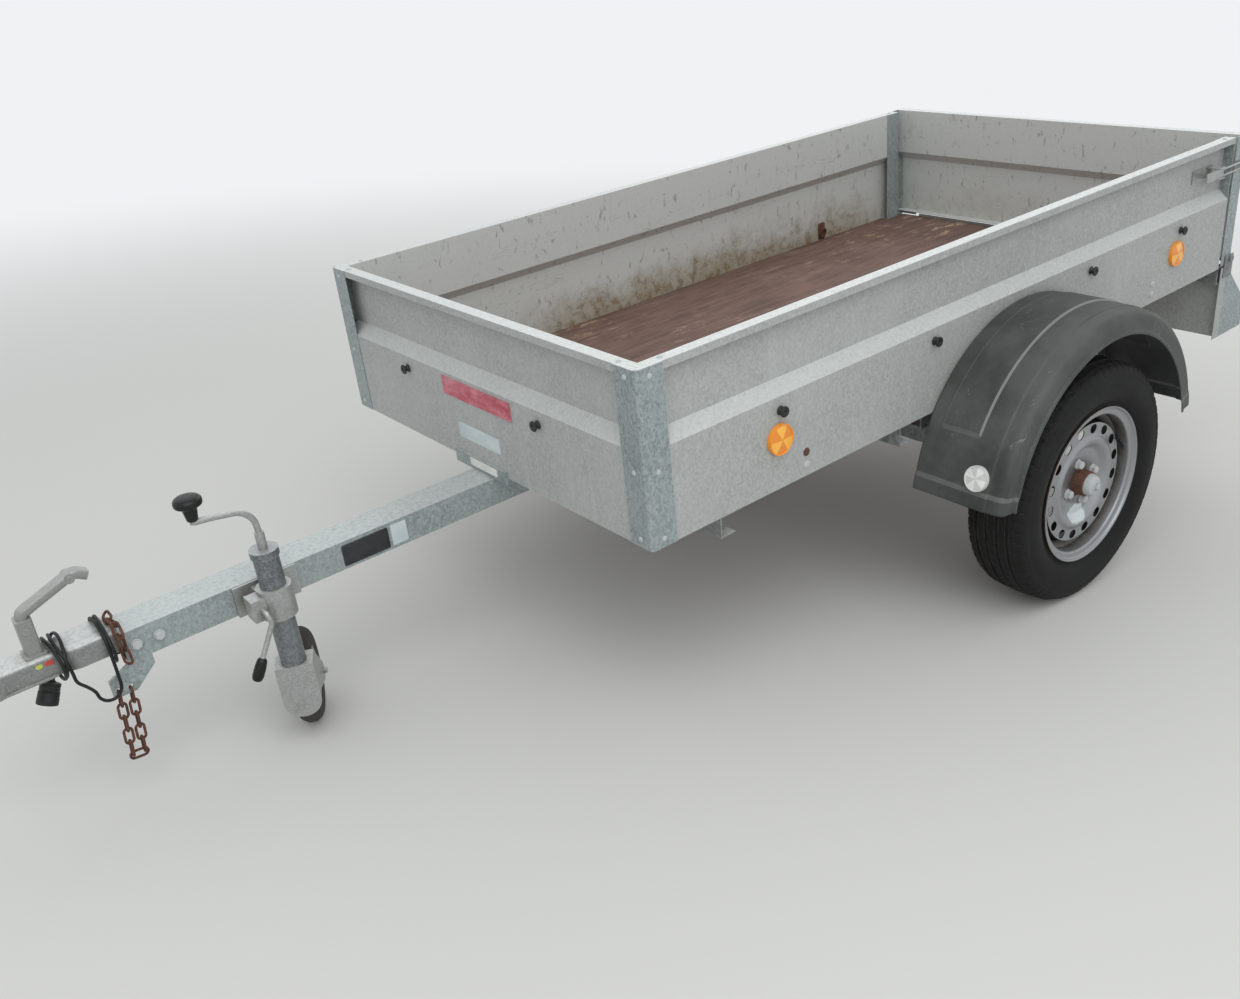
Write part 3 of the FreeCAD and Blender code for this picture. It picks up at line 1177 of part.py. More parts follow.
def coil(turns, ahead, wide, high, level, ends):
    """The outer shape of a coil's turns: an oval band, with its straight ends of cable."""
    around = S.cable_radius + S.chain_play
    length = (turns - 1) * S.cable_pitch + 2 * around
    ovals = []
    for gap in (around, -around):
        oval = Part.Ellipse(Vector(ahead - around, 0, level), wide + gap, high + gap)
        oval.Axis = Vector(1, 0, 0)
        oval.XAxis = Vector(0, 1, 0)
        ovals.append(Part.Face(Part.Wire(oval.toShape())).extrude(Vector(length, 0, 0)))
    band = ovals[0].cut(ovals[1])
    for turn, side in ends:
        foot = Vector(ahead + turn * S.cable_pitch, side * wide, LOOP[0][2])
        band = band.fuse(Part.makeCylinder(S.cable_radius, level - LOOP[0][2], foot))
    return band


def make_cable():
    bands = [coil(*row) for row in COILS]
    piece("cable_coils", formed("CableCoils", Part.makeCompound(bands)))
    turns, ahead, *oval = COILS[0]
    rear = ahead - S.cable_radius - S.chain_play
    start = Vector(S.drawbar_front - 2 * S.cable_pitch, S.cable_radius, S.cable_level)
    lead = Part.makeCylinder(S.cable_radius, rear - start.x, start, Vector(1, 0, 0))
    runs = [tube(LOOP, S.cable_radius), tube(DROP, S.cable_radius)]
    piece("cable", formed("Cable", Part.makeCompound([lead] + runs)))
    end, before = Vector(*DROP[-1]), Vector(*DROP[-2])
    along = (end - before).normalize()
    boot = Part.makeCone(1.7 * S.cable_radius, 0.5 * S.plug_radius, S.plug_boot, end, along)
    body = Part.makeCylinder(S.plug_radius, S.plug_length, end + along * S.plug_boot, along)
    lid = Part.makeCylinder(0.85 * S.plug_radius, 0.1 * S.plug_length,
                            end + along * (S.plug_boot + S.plug_length), along)
    piece("plug", formed("Plug", boot.fuse([body, lid])))


def stand_on_floor():
    """Tilts every piece nose down, rests the tyres on z = 0 and centres the whole in x."""
    turn = Placement(Vector(), Rotation(Vector(0, 1, 0), S.nose_down))
    spots = [turn.multVec(corner) for corner in reach_corners()]
    middle = (min(spot.x for spot in spots) + max(spot.x for spot in spots)) / 2
    lift = S.tyre_radius - turn.multVec(Vector(-S.axle_back, 0, 0)).z
    return Placement(Vector(-middle, 0, lift), turn.Rotation)


def reach_corners():
    """The spots that reach furthest forward and back."""
    tilt = math.radians(S.nose_down)
    nose = Vector(S.ball_ahead, 0, S.ball_height) + Vector(math.cos(tilt), 0, math.sin(tilt)) * S.dome_radius
    rear = -(S.body_length + S.wall_gauge + S.guard_depth)
    return [nose, Vector(rear, 0, S.panel_bottom), Vector(-S.tailgate_face, 0, S.wall_top)]


make_walls()
make_posts()
make_floor()
make_chassis()
make_rear()
make_jockey()
make_wheels()
make_mudguards()
make_side_fittings()
make_catches()
make_coupler()
make_chain()
make_cable()
doc.recompute()
world = stand_on_floor()
for node, item in pieces.items():
    item.Placement = world.multiply(item.Placement)
doc.recompute()
pieces.update(twins)

faults = [item.Name for item in doc.Objects if "Invalid" in item.State or "Error" in item.State]
for node, item in pieces.items():
    if item.Shape.isNull() or not item.Shape.isValid() or not item.Shape.Solids:
        faults.append(node)
if faults:
    raise SystemExit("Faults in: " + ", ".join(faults))
os.makedirs("parts", exist_ok=True)
for node, item in pieces.items():
    item.Shape.exportStep("parts/%s.step" % node)
print(len(pieces), "pieces")
box_all = Part.makeCompound([item.Shape for item in pieces.values()]).BoundBox
print("x %.1f %.1f  y %.1f %.1f  z %.1f %.1f" % (
    box_all.XMin, box_all.XMax, box_all.YMin, box_all.YMax, box_all.ZMin, box_all.ZMax))
print("world", world)
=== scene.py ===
# %% [markdown]
# # A galvanised box trailer on its jockey wheel
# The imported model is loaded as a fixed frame, and this lesson dresses it: a camera at the photograph's
# view, soft light, a finish for every surface, and finer meshes where a plain solid isn't enough.

# %% Load the frame
import math

import bmesh
import bpy
import numpy as np
from mathutils import Matrix, Vector


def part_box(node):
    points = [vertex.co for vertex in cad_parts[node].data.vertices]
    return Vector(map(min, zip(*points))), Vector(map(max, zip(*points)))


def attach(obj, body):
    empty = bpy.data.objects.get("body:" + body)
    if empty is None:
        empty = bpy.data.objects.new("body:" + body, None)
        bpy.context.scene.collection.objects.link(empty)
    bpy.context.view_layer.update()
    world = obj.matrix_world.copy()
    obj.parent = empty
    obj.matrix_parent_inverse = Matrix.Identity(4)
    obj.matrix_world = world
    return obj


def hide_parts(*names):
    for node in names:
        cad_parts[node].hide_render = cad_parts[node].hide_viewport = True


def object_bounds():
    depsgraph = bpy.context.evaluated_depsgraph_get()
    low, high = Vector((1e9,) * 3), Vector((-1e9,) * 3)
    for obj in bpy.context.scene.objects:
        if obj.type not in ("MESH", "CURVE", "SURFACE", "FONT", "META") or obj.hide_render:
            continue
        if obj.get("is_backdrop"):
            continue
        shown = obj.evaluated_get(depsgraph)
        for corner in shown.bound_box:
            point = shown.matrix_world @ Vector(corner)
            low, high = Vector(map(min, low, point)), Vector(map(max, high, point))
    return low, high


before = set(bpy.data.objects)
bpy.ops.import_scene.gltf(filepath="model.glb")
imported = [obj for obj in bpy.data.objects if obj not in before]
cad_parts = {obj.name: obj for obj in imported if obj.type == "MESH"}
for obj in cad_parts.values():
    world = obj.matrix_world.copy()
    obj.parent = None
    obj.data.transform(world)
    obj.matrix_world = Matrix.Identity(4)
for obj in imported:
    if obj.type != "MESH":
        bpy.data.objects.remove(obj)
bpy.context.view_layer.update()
scene = bpy.context.scene
scene.view_settings.view_transform = "Standard"

# %% [markdown]
# ## The trailer's level frame
# The parked trailer stands nose down, but its maker measured it level: x forward from the load bed's
# front face, y to the left, z up from the axle. Every new piece is worked out level and then placed.

# %% Level frame
NOSE_DOWN = math.radians(5.2)
AXLE_BACK = 1.115
TURN = np.array(Matrix.Rotation(NOSE_DOWN, 3, "Y"))
tyre_low, tyre_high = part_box("wheel_left_tyre")
axle = np.array((tyre_low + tyre_high) / 2) * (1, 0, 1)
SHIFT = axle - TURN @ (-AXLE_BACK, 0, 0)


def place(points):
    """Level points as row-frame points: turned nose down about y, then shifted."""
    return np.asarray(points, float) @ TURN.T + SHIFT


print("level frame's origin in the row frame:", SHIFT.round(4))

# %% [markdown]
# ## Camera
# A phone held at head height, beside the drawbar. The eye, the three turns and the lens were fitted
# to the load bed's corners, so the render can be laid over the photograph.

# %% Camera
EYE = (1.1112, 1.9983, 1.2740)
YAW, PITCH, ROLL = 4.0809, 0.4707, -0.1111
LENS = 33.86
SENSOR = 36.0

forward = np.array((math.cos(PITCH) * math.cos(YAW), math.cos(PITCH) * math.sin(YAW), -math.sin(PITCH)))
side = np.cross(forward, (0, 0, 1))
side /= np.linalg.norm(side)
up = np.cross(side, forward)
right = math.cos(ROLL) * side + math.sin(ROLL) * up
top = -math.sin(ROLL) * side + math.cos(ROLL) * up
camera = bpy.data.objects.new("camera", bpy.data.cameras.new("camera"))
scene.collection.objects.link(camera)
camera.data.lens = LENS
camera.data.sensor_width = SENSOR
camera.data.sensor_fit = "HORIZONTAL"
pose = Matrix([*zip(*(TURN @ axis for axis in (right, top, -forward)))]).to_4x4()
pose.translation = place(EYE)
camera.matrix_world = pose
scene.camera = camera
print("camera at", [round(value, 3) for value in camera.matrix_world.translation])

# %% [markdown]
# ## Node helpers
# A finish is a Principled shader fed by a few patterns. These helpers keep the node code short. A
# Tree has one short call for each common kind of node. A Finish is a material's tree that also
# remembers the colour laid so far, so that a surface is told in the order in which it got dirty.

# %% Colours and trees
def tone(red, green, blue):
    """A colour as a screen shows it, 0 to 255, as the linear numbers that a shader mixes."""
    seen = np.array((red, green, blue)) / 255
    linear = np.where(seen <= 0.04045, seen / 12.92, ((seen + 0.055) / 1.055) ** 2.4)
    return (*linear.tolist(), 1.0)


class Tree:
    """A node tree, with one short call for each kind of node that the finishes need."""

    def __init__(self, tree):
        self.tree = tree

    def feed(self, socket, value):
        """Links the value into the socket if it is a socket too, and otherwise sets it."""
        if isinstance(value, bpy.types.NodeSocket):
            self.tree.links.new(value, socket)
        else:
            socket.default_value = value

    def add(self, kind, settings=(), *inputs, **values):
        """A node with its settings, and with its sockets fed in their order or by name."""
        node = self.tree.nodes.new("ShaderNode" + kind)
        for key, value in dict(settings).items():
            setattr(node, key, value)
        for socket, value in zip(node.inputs, inputs):
            self.feed(socket, value)
        for key, value in values.items():
            self.feed(node.inputs[key.replace("_", " ")], value)
        return node

    def use(self, group, **values):
        """The outputs of a node group placed here with its own values."""
        return self.add("Group", {"node_tree": group.tree}, **values).outputs

    def calc(self, operation, *values, clamp=False):
        """The result of a Math node."""
        return self.add("Math", {"operation": operation, "use_clamp": clamp}, *values).outputs[0]

    def vector(self, operation, *values):
        """The outputs of a Vector Math node, Vector and Value."""
        return self.add("VectorMath", {"operation": operation}, *values).outputs

    def mixed(self, factor, one, two):
        """Colour one blended towards colour two by the factor."""
        node = self.add("Mix", {"data_type": "RGBA"})
        for number, value in ((0, factor), (6, one), (7, two)):
            self.feed(node.inputs[number], value)
        return node.outputs[2]

    def stretch(self, value, low, high, to_low=0.0, to_high=1.0):
        """The value's range from low to high, eased onto to_low to to_high."""
        ease_over = {"interpolation_type": "SMOOTHSTEP"}
        return self.add("MapRange", ease_over, value, low, high, to_low, to_high).outputs[0]

    def noise(self, vector, scale, detail=4.0, roughness=0.55, distortion=0.0):
        """A cloudy pattern about 0.5, with scale blotches to the metre."""
        return self.add("TexNoise", Vector=vector, Scale=scale, Detail=detail, Roughness=roughness,
                        Distortion=distortion).outputs[0]

    def stretched(self, vector, scale, turn=(0, 0, 0)):
        """The vector turned and scaled, so that a pattern on it runs along the smaller scale."""
        return self.add("Mapping", Vector=vector, Scale=scale, Rotation=turn).outputs[0]


# %% A finish
class Finish(Tree):
    """A material: its Principled shader, its level coordinates and the colour laid so far."""

    def __init__(self, name, colour, **values):
        self.material = bpy.data.materials.new(name)
        self.material.use_nodes = True
        super().__init__(self.material.node_tree)
        self.shader = self.tree.nodes["Principled BSDF"]
        self.colour = colour
        self.give(Base_Color=colour, **values)
        # Object coordinates are carried back to the level frame, so that down a wall is -z.
        self.level = self.add("Mapping", {"vector_type": "TEXTURE"}, Location=SHIFT.tolist(),
                              Rotation=(0, NOSE_DOWN, 0),
                              Vector=self.add("TexCoord").outputs["Object"]).outputs[0]

    def give(self, **values):
        """Feeds the shader's sockets by name, with plain values or with patterns."""
        for key, value in values.items():
            self.feed(self.shader.inputs[key.replace("_", " ")], value)

    def lay(self, mask, colour, share=1.0):
        """Lays a colour over those before it, where the mask says and by a share of it."""
        if share != 1.0:
            mask = self.calc("MULTIPLY", mask, share)
        self.colour = self.mixed(mask, self.colour, colour)
        self.give(Base_Color=self.colour)

    def bump(self, height, strength, distance):
        """Raises the shader's normal by a height pattern; distance is the real depth in metres."""
        self.give(Normal=self.add("Bump", Height=height, Strength=strength, Distance=distance).outputs[0])


# %% [markdown]
# ## Light and floor
# An overcast sky is one huge soft lamp, so a pale world does most of the work and two broad area
# lamps only add a direction. The floor is plain and keeps the trailer's shadow. Far off it fades into
# the world's own colour, but only for rays that look at it, so it adds no light to the trailer.

# %% Light and floor
SKY = 0.80
KEY = 96.0
FILL = 38.0
KEY_SIZE, FILL_SIZE = 4.5, 4.0
BACKDROP = tone(240, 242, 244)
FLOOR_COLOUR = tone(214, 214, 211)
FADE_START, FADE_END = 2.2, 7.5


def new_light(name, energy, size, spot, aim):
    """A square area lamp at a row-frame spot, aimed at another."""
    lamp = bpy.data.objects.new(name, bpy.data.lights.new(name, "AREA"))
    lamp.data.energy = energy
    lamp.data.size = size
    lamp.location = spot
    lamp.rotation_euler = (Vector(aim) - Vector(spot)).to_track_quat("-Z", "Y").to_euler()
    scene.collection.objects.link(lamp)


def looking_rays(tree):
    """1 for a ray from the camera, a reflection or through glass, and 0 for one that gathers light."""
    path = tree.add("LightPath").outputs
    mirrored = tree.calc("MAXIMUM", path["Is Camera Ray"], path["Is Glossy Ray"])
    return tree.calc("MAXIMUM", mirrored, path["Is Transmission Ray"])


new_light("sky_key", KEY, KEY_SIZE, (1.8, 3.0, 3.8), (-0.3, 0, 0.3))
new_light("sky_fill", FILL, FILL_SIZE, (-3.4, -2.0, 3.2), (-0.3, 0, 0.4))

world = bpy.data.worlds.new("overcast")
world.use_nodes = True
scene.world = world
sky = Tree(world.node_tree)
background = world.node_tree.nodes["Background"]
sky.feed(background.inputs["Color"], BACKDROP)
sky.feed(background.inputs["Strength"], sky.stretch(looking_rays(sky), 0, 1, SKY, 1.0))

bpy.ops.mesh.primitive_plane_add(size=60, location=(0, 0, 0))
floor = bpy.context.object
floor.name = "studio_floor"
floor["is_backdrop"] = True
floor_paint = Finish("studio_floor_paint", FLOOR_COLOUR, Roughness=0.95, Specular_IOR_Level=0.1)
away = floor_paint.vector("LENGTH", floor_paint.add("TexCoord").outputs["Object"])["Value"]
far = floor_paint.calc("MULTIPLY", floor_paint.stretch(away, FADE_START, FADE_END),
                       looking_rays(floor_paint))
glow = floor_paint.add("Emission", Color=BACKDROP)
both = floor_paint.add("MixShader", (), far, floor_paint.shader.outputs[0], glow.outputs[0])
floor_paint.feed(floor_paint.tree.nodes["Material Output"].inputs["Surface"], both.outputs[0])
floor.data.materials.append(floor_paint.material)
print("floor", floor.dimensions[0], "m, lamps", KEY, FILL, "W")

# %% [markdown]
# ## Effects as node groups
# Zinc crystals, dirt, worn edges and dirty corners come back on many finishes. Each is a node group
# with named inputs and outputs, built once and placed in each material with its own values.

# %% Group helper
def new_group(name, inputs, outputs=("Mask",)):
    """A shader node group, its given values and its results; inputs are {name: plain value}."""
    group = bpy.data.node_groups.new(name, "ShaderNodeTree")
    for label, value in {"Vector": (0, 0, 0), **inputs}.items():
        kind = "NodeSocketVector" if isinstance(value, tuple) else "NodeSocketFloat"
        group.interface.new_socket(label, in_out="INPUT", socket_type=kind).default_value = value
    for label in outputs:
        group.interface.new_socket(label, in_out="OUTPUT", socket_type="NodeSocketFloat")
    given = group.nodes.new("NodeGroupInput").outputs
    return Tree(group), given, group.nodes.new("NodeGroupOutput").inputs


# %% [markdown]
# ### Zinc crystals
# Two sizes of Voronoi cells, warped a little so that their edges aren't straight. Each cell has one
# grey, because each crystal of zinc mirrors the sky its own way.

# %% Zinc crystals
SPANGLE, given, result = new_group("zinc_spangle", {"Crystals": 90.0}, ["Tone"])
wobble = SPANGLE.add("TexNoise", Vector=given["Vector"], Scale=38.0, Detail=2.0).outputs["Color"]
warped = SPANGLE.vector("MULTIPLY_ADD", wobble, (0.012,) * 3, given["Vector"])["Vector"]
finer = SPANGLE.calc("MULTIPLY", given["Crystals"], 2.4)
greys = []
for scale in (given["Crystals"], finer):
    cells = SPANGLE.add("TexVoronoi", Vector=warped, Scale=scale).outputs["Color"]
    greys.append(SPANGLE.add("SeparateColor", Color=cells).outputs["Red"])
coarse = SPANGLE.calc("MULTIPLY", greys[0], 0.62)
SPANGLE.feed(result["Tone"], SPANGLE.calc("MULTIPLY_ADD", greys[1], 0.38, coarse))

# %% [markdown]
# ### Dirt, edges, shaded corners and scratches
# Blotches are noise of several sizes, cut off at the share of the surface that the dirt covers. Edges
# come from a Bevel node, which rounds the normal near an edge: where it differs from the true normal,
# there is an edge, and a finish lays wear or dirt there, some with a painted highlight. Ambient
# occlusion finds the corners where shade falls; finishes lay dirt there, and some paint that shade in.
# Scratches are noise drawn out along one way, kept only where it passes through its middle value.

# %% Blotches of dirt
BLOTCH, given, result = new_group("blotches", {"Scale": 20.0, "Cover": 0.4, "Softness": 0.1})
cloud = BLOTCH.noise(given["Vector"], given["Scale"], 7.0, 0.68, 0.4)
clean = BLOTCH.calc("SUBTRACT", 0.78, BLOTCH.calc("MULTIPLY", given["Cover"], 0.56))
full = BLOTCH.calc("ADD", clean, given["Softness"])
BLOTCH.feed(result["Mask"], BLOTCH.stretch(cloud, clean, full))


def blotches(finish, scale, cover, softness, draw=None, turn=(0, 0, 0)):
    """Blotches on a finish, drawn out along the smaller numbers of draw."""
    where = finish.stretched(finish.level, draw, turn) if draw else finish.level
    return finish.use(BLOTCH, Vector=where, Scale=scale, Cover=cover, Softness=softness)["Mask"]


# %% Edges, for wear and painted highlights
EDGE_BAND, given, result = new_group("edge_bevel", {"Width": 0.002, "Amount": 1.0})
soft = EDGE_BAND.add("Bevel", {"samples": 4}, Radius=given["Width"]).outputs[0]
alike = EDGE_BAND.vector("DOT_PRODUCT", soft, EDGE_BAND.add("NewGeometry").outputs["Normal"])["Value"]
broken = EDGE_BAND.stretch(EDGE_BAND.noise(given["Vector"], 70.0, 5.0, 0.7), 0.38, 0.62, 0.25, 1.0)
bevelled = EDGE_BAND.calc("MULTIPLY", EDGE_BAND.stretch(alike, 0.995, 0.90), broken)
EDGE_BAND.feed(result["Mask"], EDGE_BAND.calc("MULTIPLY", bevelled, given["Amount"], clamp=True))


def bevel_edges(finish, width, amount):
    """The edges of a finish, as wide as given in metres."""
    return finish.use(EDGE_BAND, Vector=finish.level, Width=width, Amount=amount)["Mask"]


# %% Occluded corners, for dirt and painted shade
CORNER, given, result = new_group("corner_occlusion", {"Reach": 0.03, "Amount": 1.0})
open_sky = CORNER.add("AmbientOcclusion", {"samples": 6}, Distance=given["Reach"]).outputs["AO"]
patchy = CORNER.stretch(CORNER.noise(given["Vector"], 34.0, 5.0, 0.7), 0.35, 0.6, 0.35, 1.0)
occluded = CORNER.calc("MULTIPLY", CORNER.stretch(open_sky, 0.85, 0.25), patchy)
CORNER.feed(result["Mask"], CORNER.calc("MULTIPLY", occluded, given["Amount"], clamp=True))


def occluded_corners(finish, reach, amount):
    """The corners of a finish that ambient occlusion finds, reaching out as far as given in metres."""
    return finish.use(CORNER, Vector=finish.level, Reach=reach, Amount=amount)["Mask"]


# %% Scratches
SCRATCH, given, result = new_group("scratches", {"Width": 0.004})
drawn = SCRATCH.noise(given["Vector"], 1.0, 3.0, 0.5, 0.6)
offset = SCRATCH.calc("ABSOLUTE", SCRATCH.calc("SUBTRACT", drawn, 0.5))
line = SCRATCH.calc("SUBTRACT", 1.0, SCRATCH.stretch(offset, 0.0, given["Width"]))
faded = SCRATCH.stretch(SCRATCH.noise(given["Vector"], 0.45, 2.0), 0.5, 0.62)
SCRATCH.feed(result["Mask"], SCRATCH.calc("MULTIPLY", line, faded))


def scratches(finish, width, draw, turn):
    """Scratches on a finish, along the smallest number of draw."""
    where = finish.stretched(finish.level, draw, turn)
    return finish.use(SCRATCH, Vector=where, Width=width)["Mask"]


# %% [markdown]
# ### Painted light on tops, and the inside of the load bed
# What looks at the sky is painted paler, as painted light from above. The mesh's own normal is used,
# so the painted light stays on its face when a part is turned. In the same way a face is inside the
# load bed where its normal looks towards the bed's middle, and the stain also needs to be low.

# %% Painted light on tops
SKYLIT_TOP, given, result = new_group("painted_light_on_top", {"Amount": 1.0})
upward = SKYLIT_TOP.add("SeparateXYZ", Vector=SKYLIT_TOP.add("TexCoord").outputs["Normal"]).outputs["Z"]
mottle = SKYLIT_TOP.stretch(SKYLIT_TOP.noise(given["Vector"], 120.0, 5.0, 0.7), 0.3, 0.6, 0.55, 1.0)
skylit = SKYLIT_TOP.calc("MULTIPLY", SKYLIT_TOP.stretch(upward, 0.45, 0.95), mottle)
SKYLIT_TOP.feed(result["Mask"], SKYLIT_TOP.calc("MULTIPLY", skylit, given["Amount"], clamp=True))

# %% Inside of the load bed
BED_MIDDLE = place((-1.03, 0, 0.42))
STAIN_BACK, STAIN_FRONT = (-1.99, -1.72), (-0.35, -0.75)
BED_INSIDE, given, result = new_group("bed_inside_and_stain", {"Low": 0.25, "High": 0.40}, ["Inside", "Stain"])
coordinates = BED_INSIDE.add("TexCoord").outputs
towards = BED_INSIDE.vector("SUBTRACT", BED_MIDDLE.tolist(), coordinates["Object"])["Vector"]
unit = BED_INSIDE.vector("NORMALIZE", towards)["Vector"]
facing = BED_INSIDE.vector("DOT_PRODUCT", unit, coordinates["Normal"])["Value"]
inside = BED_INSIDE.stretch(facing, 0.05, 0.3)
split = BED_INSIDE.add("SeparateXYZ", Vector=given["Vector"]).outputs
mid_length = BED_INSIDE.calc("MULTIPLY", BED_INSIDE.stretch(split["X"], *STAIN_BACK, 0.25),
                            BED_INSIDE.stretch(split["X"], *STAIN_FRONT))
ragged = BED_INSIDE.calc("MULTIPLY", BED_INSIDE.noise(given["Vector"], 9.0, 7.0, 0.7), 0.26)
height = BED_INSIDE.calc("SUBTRACT", split["Z"], BED_INSIDE.calc("SUBTRACT", ragged, 0.13))
low_down = BED_INSIDE.calc("MULTIPLY", inside, BED_INSIDE.stretch(height, given["High"], given["Low"]))
BED_INSIDE.feed(result["Inside"], inside)
BED_INSIDE.feed(result["Stain"], BED_INSIDE.calc("MULTIPLY", low_down, mid_length))
print("node groups:", [group.name for group in bpy.data.node_groups])

# %% [markdown]
# ## Galvanised zinc
# One builder makes every zinc finish, because they differ only in values: rolled sheet has fine dull
# crystals, dipped posts and drawbar have large bright ones, and old plated castings are mostly grime.

# %% Zinc finishes
EARTH_AND_SHADE = tone(78, 68, 50)
SOOT = tone(58, 60, 58)
CHALK = tone(206, 210, 206)
EVEN = (1, 1, 1)


def zinc(name, dark, pale, crystals, metal, rough, smudge, darkening, chalk=0.25, draw=(1, 1, 0.6), top=0.6):
    """Crystals between greys, clouded, smudged, chalky in streaks; painted light on top and on worn edges;
    dirt and painted shade in corners.
    """
    coat = Finish(name, dark, Metallic=metal)
    grain = coat.stretched(coat.level, draw)
    crystal = coat.use(SPANGLE, Vector=grain, Crystals=crystals)["Tone"]
    coat.lay(crystal, pale)
    coat.lay(coat.stretch(coat.noise(coat.level, 5.0, 3.0), 0.35, 0.65, 0.0, 0.35), pale)
    coat.lay(blotches(coat, 11.0, 0.3, 0.3, (1, 1, 0.5)), dark, 0.8 * smudge)
    coat.lay(blotches(coat, 1.0, 0.42, 0.22, (30, 30, 2.2)), CHALK, chalk)
    spots = blotches(coat, 26.0, 0.22, 0.16, (1, 1, 0.6))
    coat.lay(spots, SOOT, smudge)
    # Painted light: faces that look up are painted paler, as if lit by the sky.
    coat.lay(coat.use(SKYLIT_TOP, Vector=coat.level, Amount=top)["Mask"], tone(226, 230, 228))
    # Pale edges: partly wear, partly painted highlight.
    coat.lay(bevel_edges(coat, 0.0025, 0.55), CHALK)
    # Dirt and painted shade: the occluded corners are darkened to earth brown.
    coat.lay(occluded_corners(coat, 0.035, darkening), EARTH_AND_SHADE)
    dull = coat.calc("MULTIPLY_ADD", crystal, -0.14, rough)
    coat.give(Roughness=coat.calc("MULTIPLY_ADD", spots, 0.15, dull))
    coat.bump(coat.calc("ADD", crystal, coat.noise(coat.level, 160.0)), 0.25, 0.0004)
    return coat


# %% Sheet zinc, outside and inside the bed
SHEET = (tone(152, 154, 152), tone(184, 187, 185), 300, 0.12, 0.66, 0.3, 0.35, 0.25)
panel_zinc = zinc("galvanised_panel", *SHEET, top=0.85)
sheet_zinc = zinc("galvanised_sheet", *SHEET, top=0.85)
bed = sheet_zinc.use(BED_INSIDE, Vector=sheet_zinc.level, Low=0.235, High=0.37)
# Painted light: the bed's inner faces are painted paler, as if lit from above.
sheet_zinc.lay(bed["Inside"], tone(212, 215, 212), 0.7)
for mask, colour, share in (
        (blotches(sheet_zinc, 21.0, 0.30, 0.12, (1, 1, 0.7)), tone(124, 127, 125), 0.5),
        (blotches(sheet_zinc, 56.0, 0.34, 0.06, (1, 1, 0.45)), SOOT, 0.42),
        (scratches(sheet_zinc, 0.006, (7, 7, 60), (0, 0.05, 0)), SOOT, 0.5)):
    sheet_zinc.lay(sheet_zinc.calc("MULTIPLY", mask, bed["Inside"]), colour, share)
sheet_zinc.lay(bed["Stain"], tone(136, 118, 78), 0.7)
ochre = sheet_zinc.calc("MULTIPLY", blotches(sheet_zinc, 38.0, 0.55, 0.12), bed["Stain"])
sheet_zinc.lay(ochre, tone(110, 82, 40), 0.6)

# %% Dipped, plated and cast zinc
dipped_zinc = zinc(
    "galvanised_steel", tone(118, 128, 129), tone(170, 180, 180), 250, 0.3, 0.5, 0.3, 0.45, 0.2, top=0.62)
dipped_zinc.lay(blotches(dipped_zinc, 150.0, 0.3, 0.05), tone(208, 216, 216), 0.5)
plated_zinc = zinc(
    "zinc_plated_steel", tone(140, 142, 141), tone(178, 180, 178), 320, 0.4, 0.45, 0.62, 0.8, 0.12, EVEN)
plated_zinc.lay(blotches(plated_zinc, 9.0, 0.5, 0.3), tone(96, 97, 93), 0.42)
plated_zinc.lay(blotches(plated_zinc, 60.0, 0.18, 0.06), tone(98, 70, 46), 0.5)
coupler_zinc = zinc(
    "coupler_casting", tone(104, 106, 105), tone(150, 153, 151), 320, 0.35, 0.45, 0.75, 0.9, 0.1, EVEN,
    top=0.85)
dull_zinc = zinc(
    "dull_zinc_tube", tone(84, 88, 91), tone(138, 143, 145), 230, 0.45, 0.42, 0.3, 0.6, 0.1,
    (1, 1, 0.8), 0.5)
cast_zinc = zinc(
    "cast_handle", tone(128, 131, 128), tone(150, 153, 150), 500, 0.3, 0.42, 0.12, 0.6, 0.05, EVEN, 0.25)
chassis_zinc = zinc(
    "galvanised_chassis", tone(92, 96, 96), tone(146, 150, 150), 130, 0.25, 0.62, 0.45, 0.9, 0.15)
print("zinc finishes:", [m.name for m in bpy.data.materials if "zinc" in m.name or "galvan" in m.name])

# %% [markdown]
# ## Plywood bed floor
# The bed floor is brown film-faced plywood. Its film is darkest where it is whole; boxes dragged along
# the bed have scuffed it, and the pale wood shows through in short strokes along the bed.

# %% Plywood
plywood = Finish("film_faced_plywood", tone(88, 64, 56))
fibre = plywood.noise(plywood.stretched(plywood.level, (6, 90, 90)), 1.0, 6.0, 0.7, 0.5)
plywood.lay(plywood.stretch(fibre, 0.3, 0.7), tone(134, 106, 96))
plywood.lay(blotches(plywood, 5.0, 0.6, 0.35), tone(150, 128, 118), 0.45)
strokes = blotches(plywood, 1.0, 0.44, 0.05, (13, 40, 40), (0, 0, 0.12))
bare = plywood.calc("MULTIPLY", strokes, blotches(plywood, 2.4, 0.5, 0.2))
plywood.lay(bare, tone(216, 188, 152), 0.85)
# Dirt and painted shade: the occluded corners are darkened.
plywood.lay(occluded_corners(plywood, 0.06, 0.8), tone(74, 66, 48))
plywood.give(Roughness=plywood.stretch(fibre, 0.3, 0.7, 0.5, 0.75))
plywood.bump(plywood.calc("ADD", fibre, bare), 0.35, 0.0006)

# %% [markdown]
# ## Rubber and plastic
# Black isn't one black: tyres are dusty brown in their grooves, the mudguards have greyed in the sun
# and carry fine scuffs, and the cable is the cleanest. One builder makes them, with other values.

# %% Rubber and plastic
DUST = tone(112, 104, 92)


def mesh_share(finish):
    """The number between 0 and 1 that a mesh gives each of its faces."""
    return finish.add("Attribute", {"attribute_name": "share"}).outputs["Fac"]


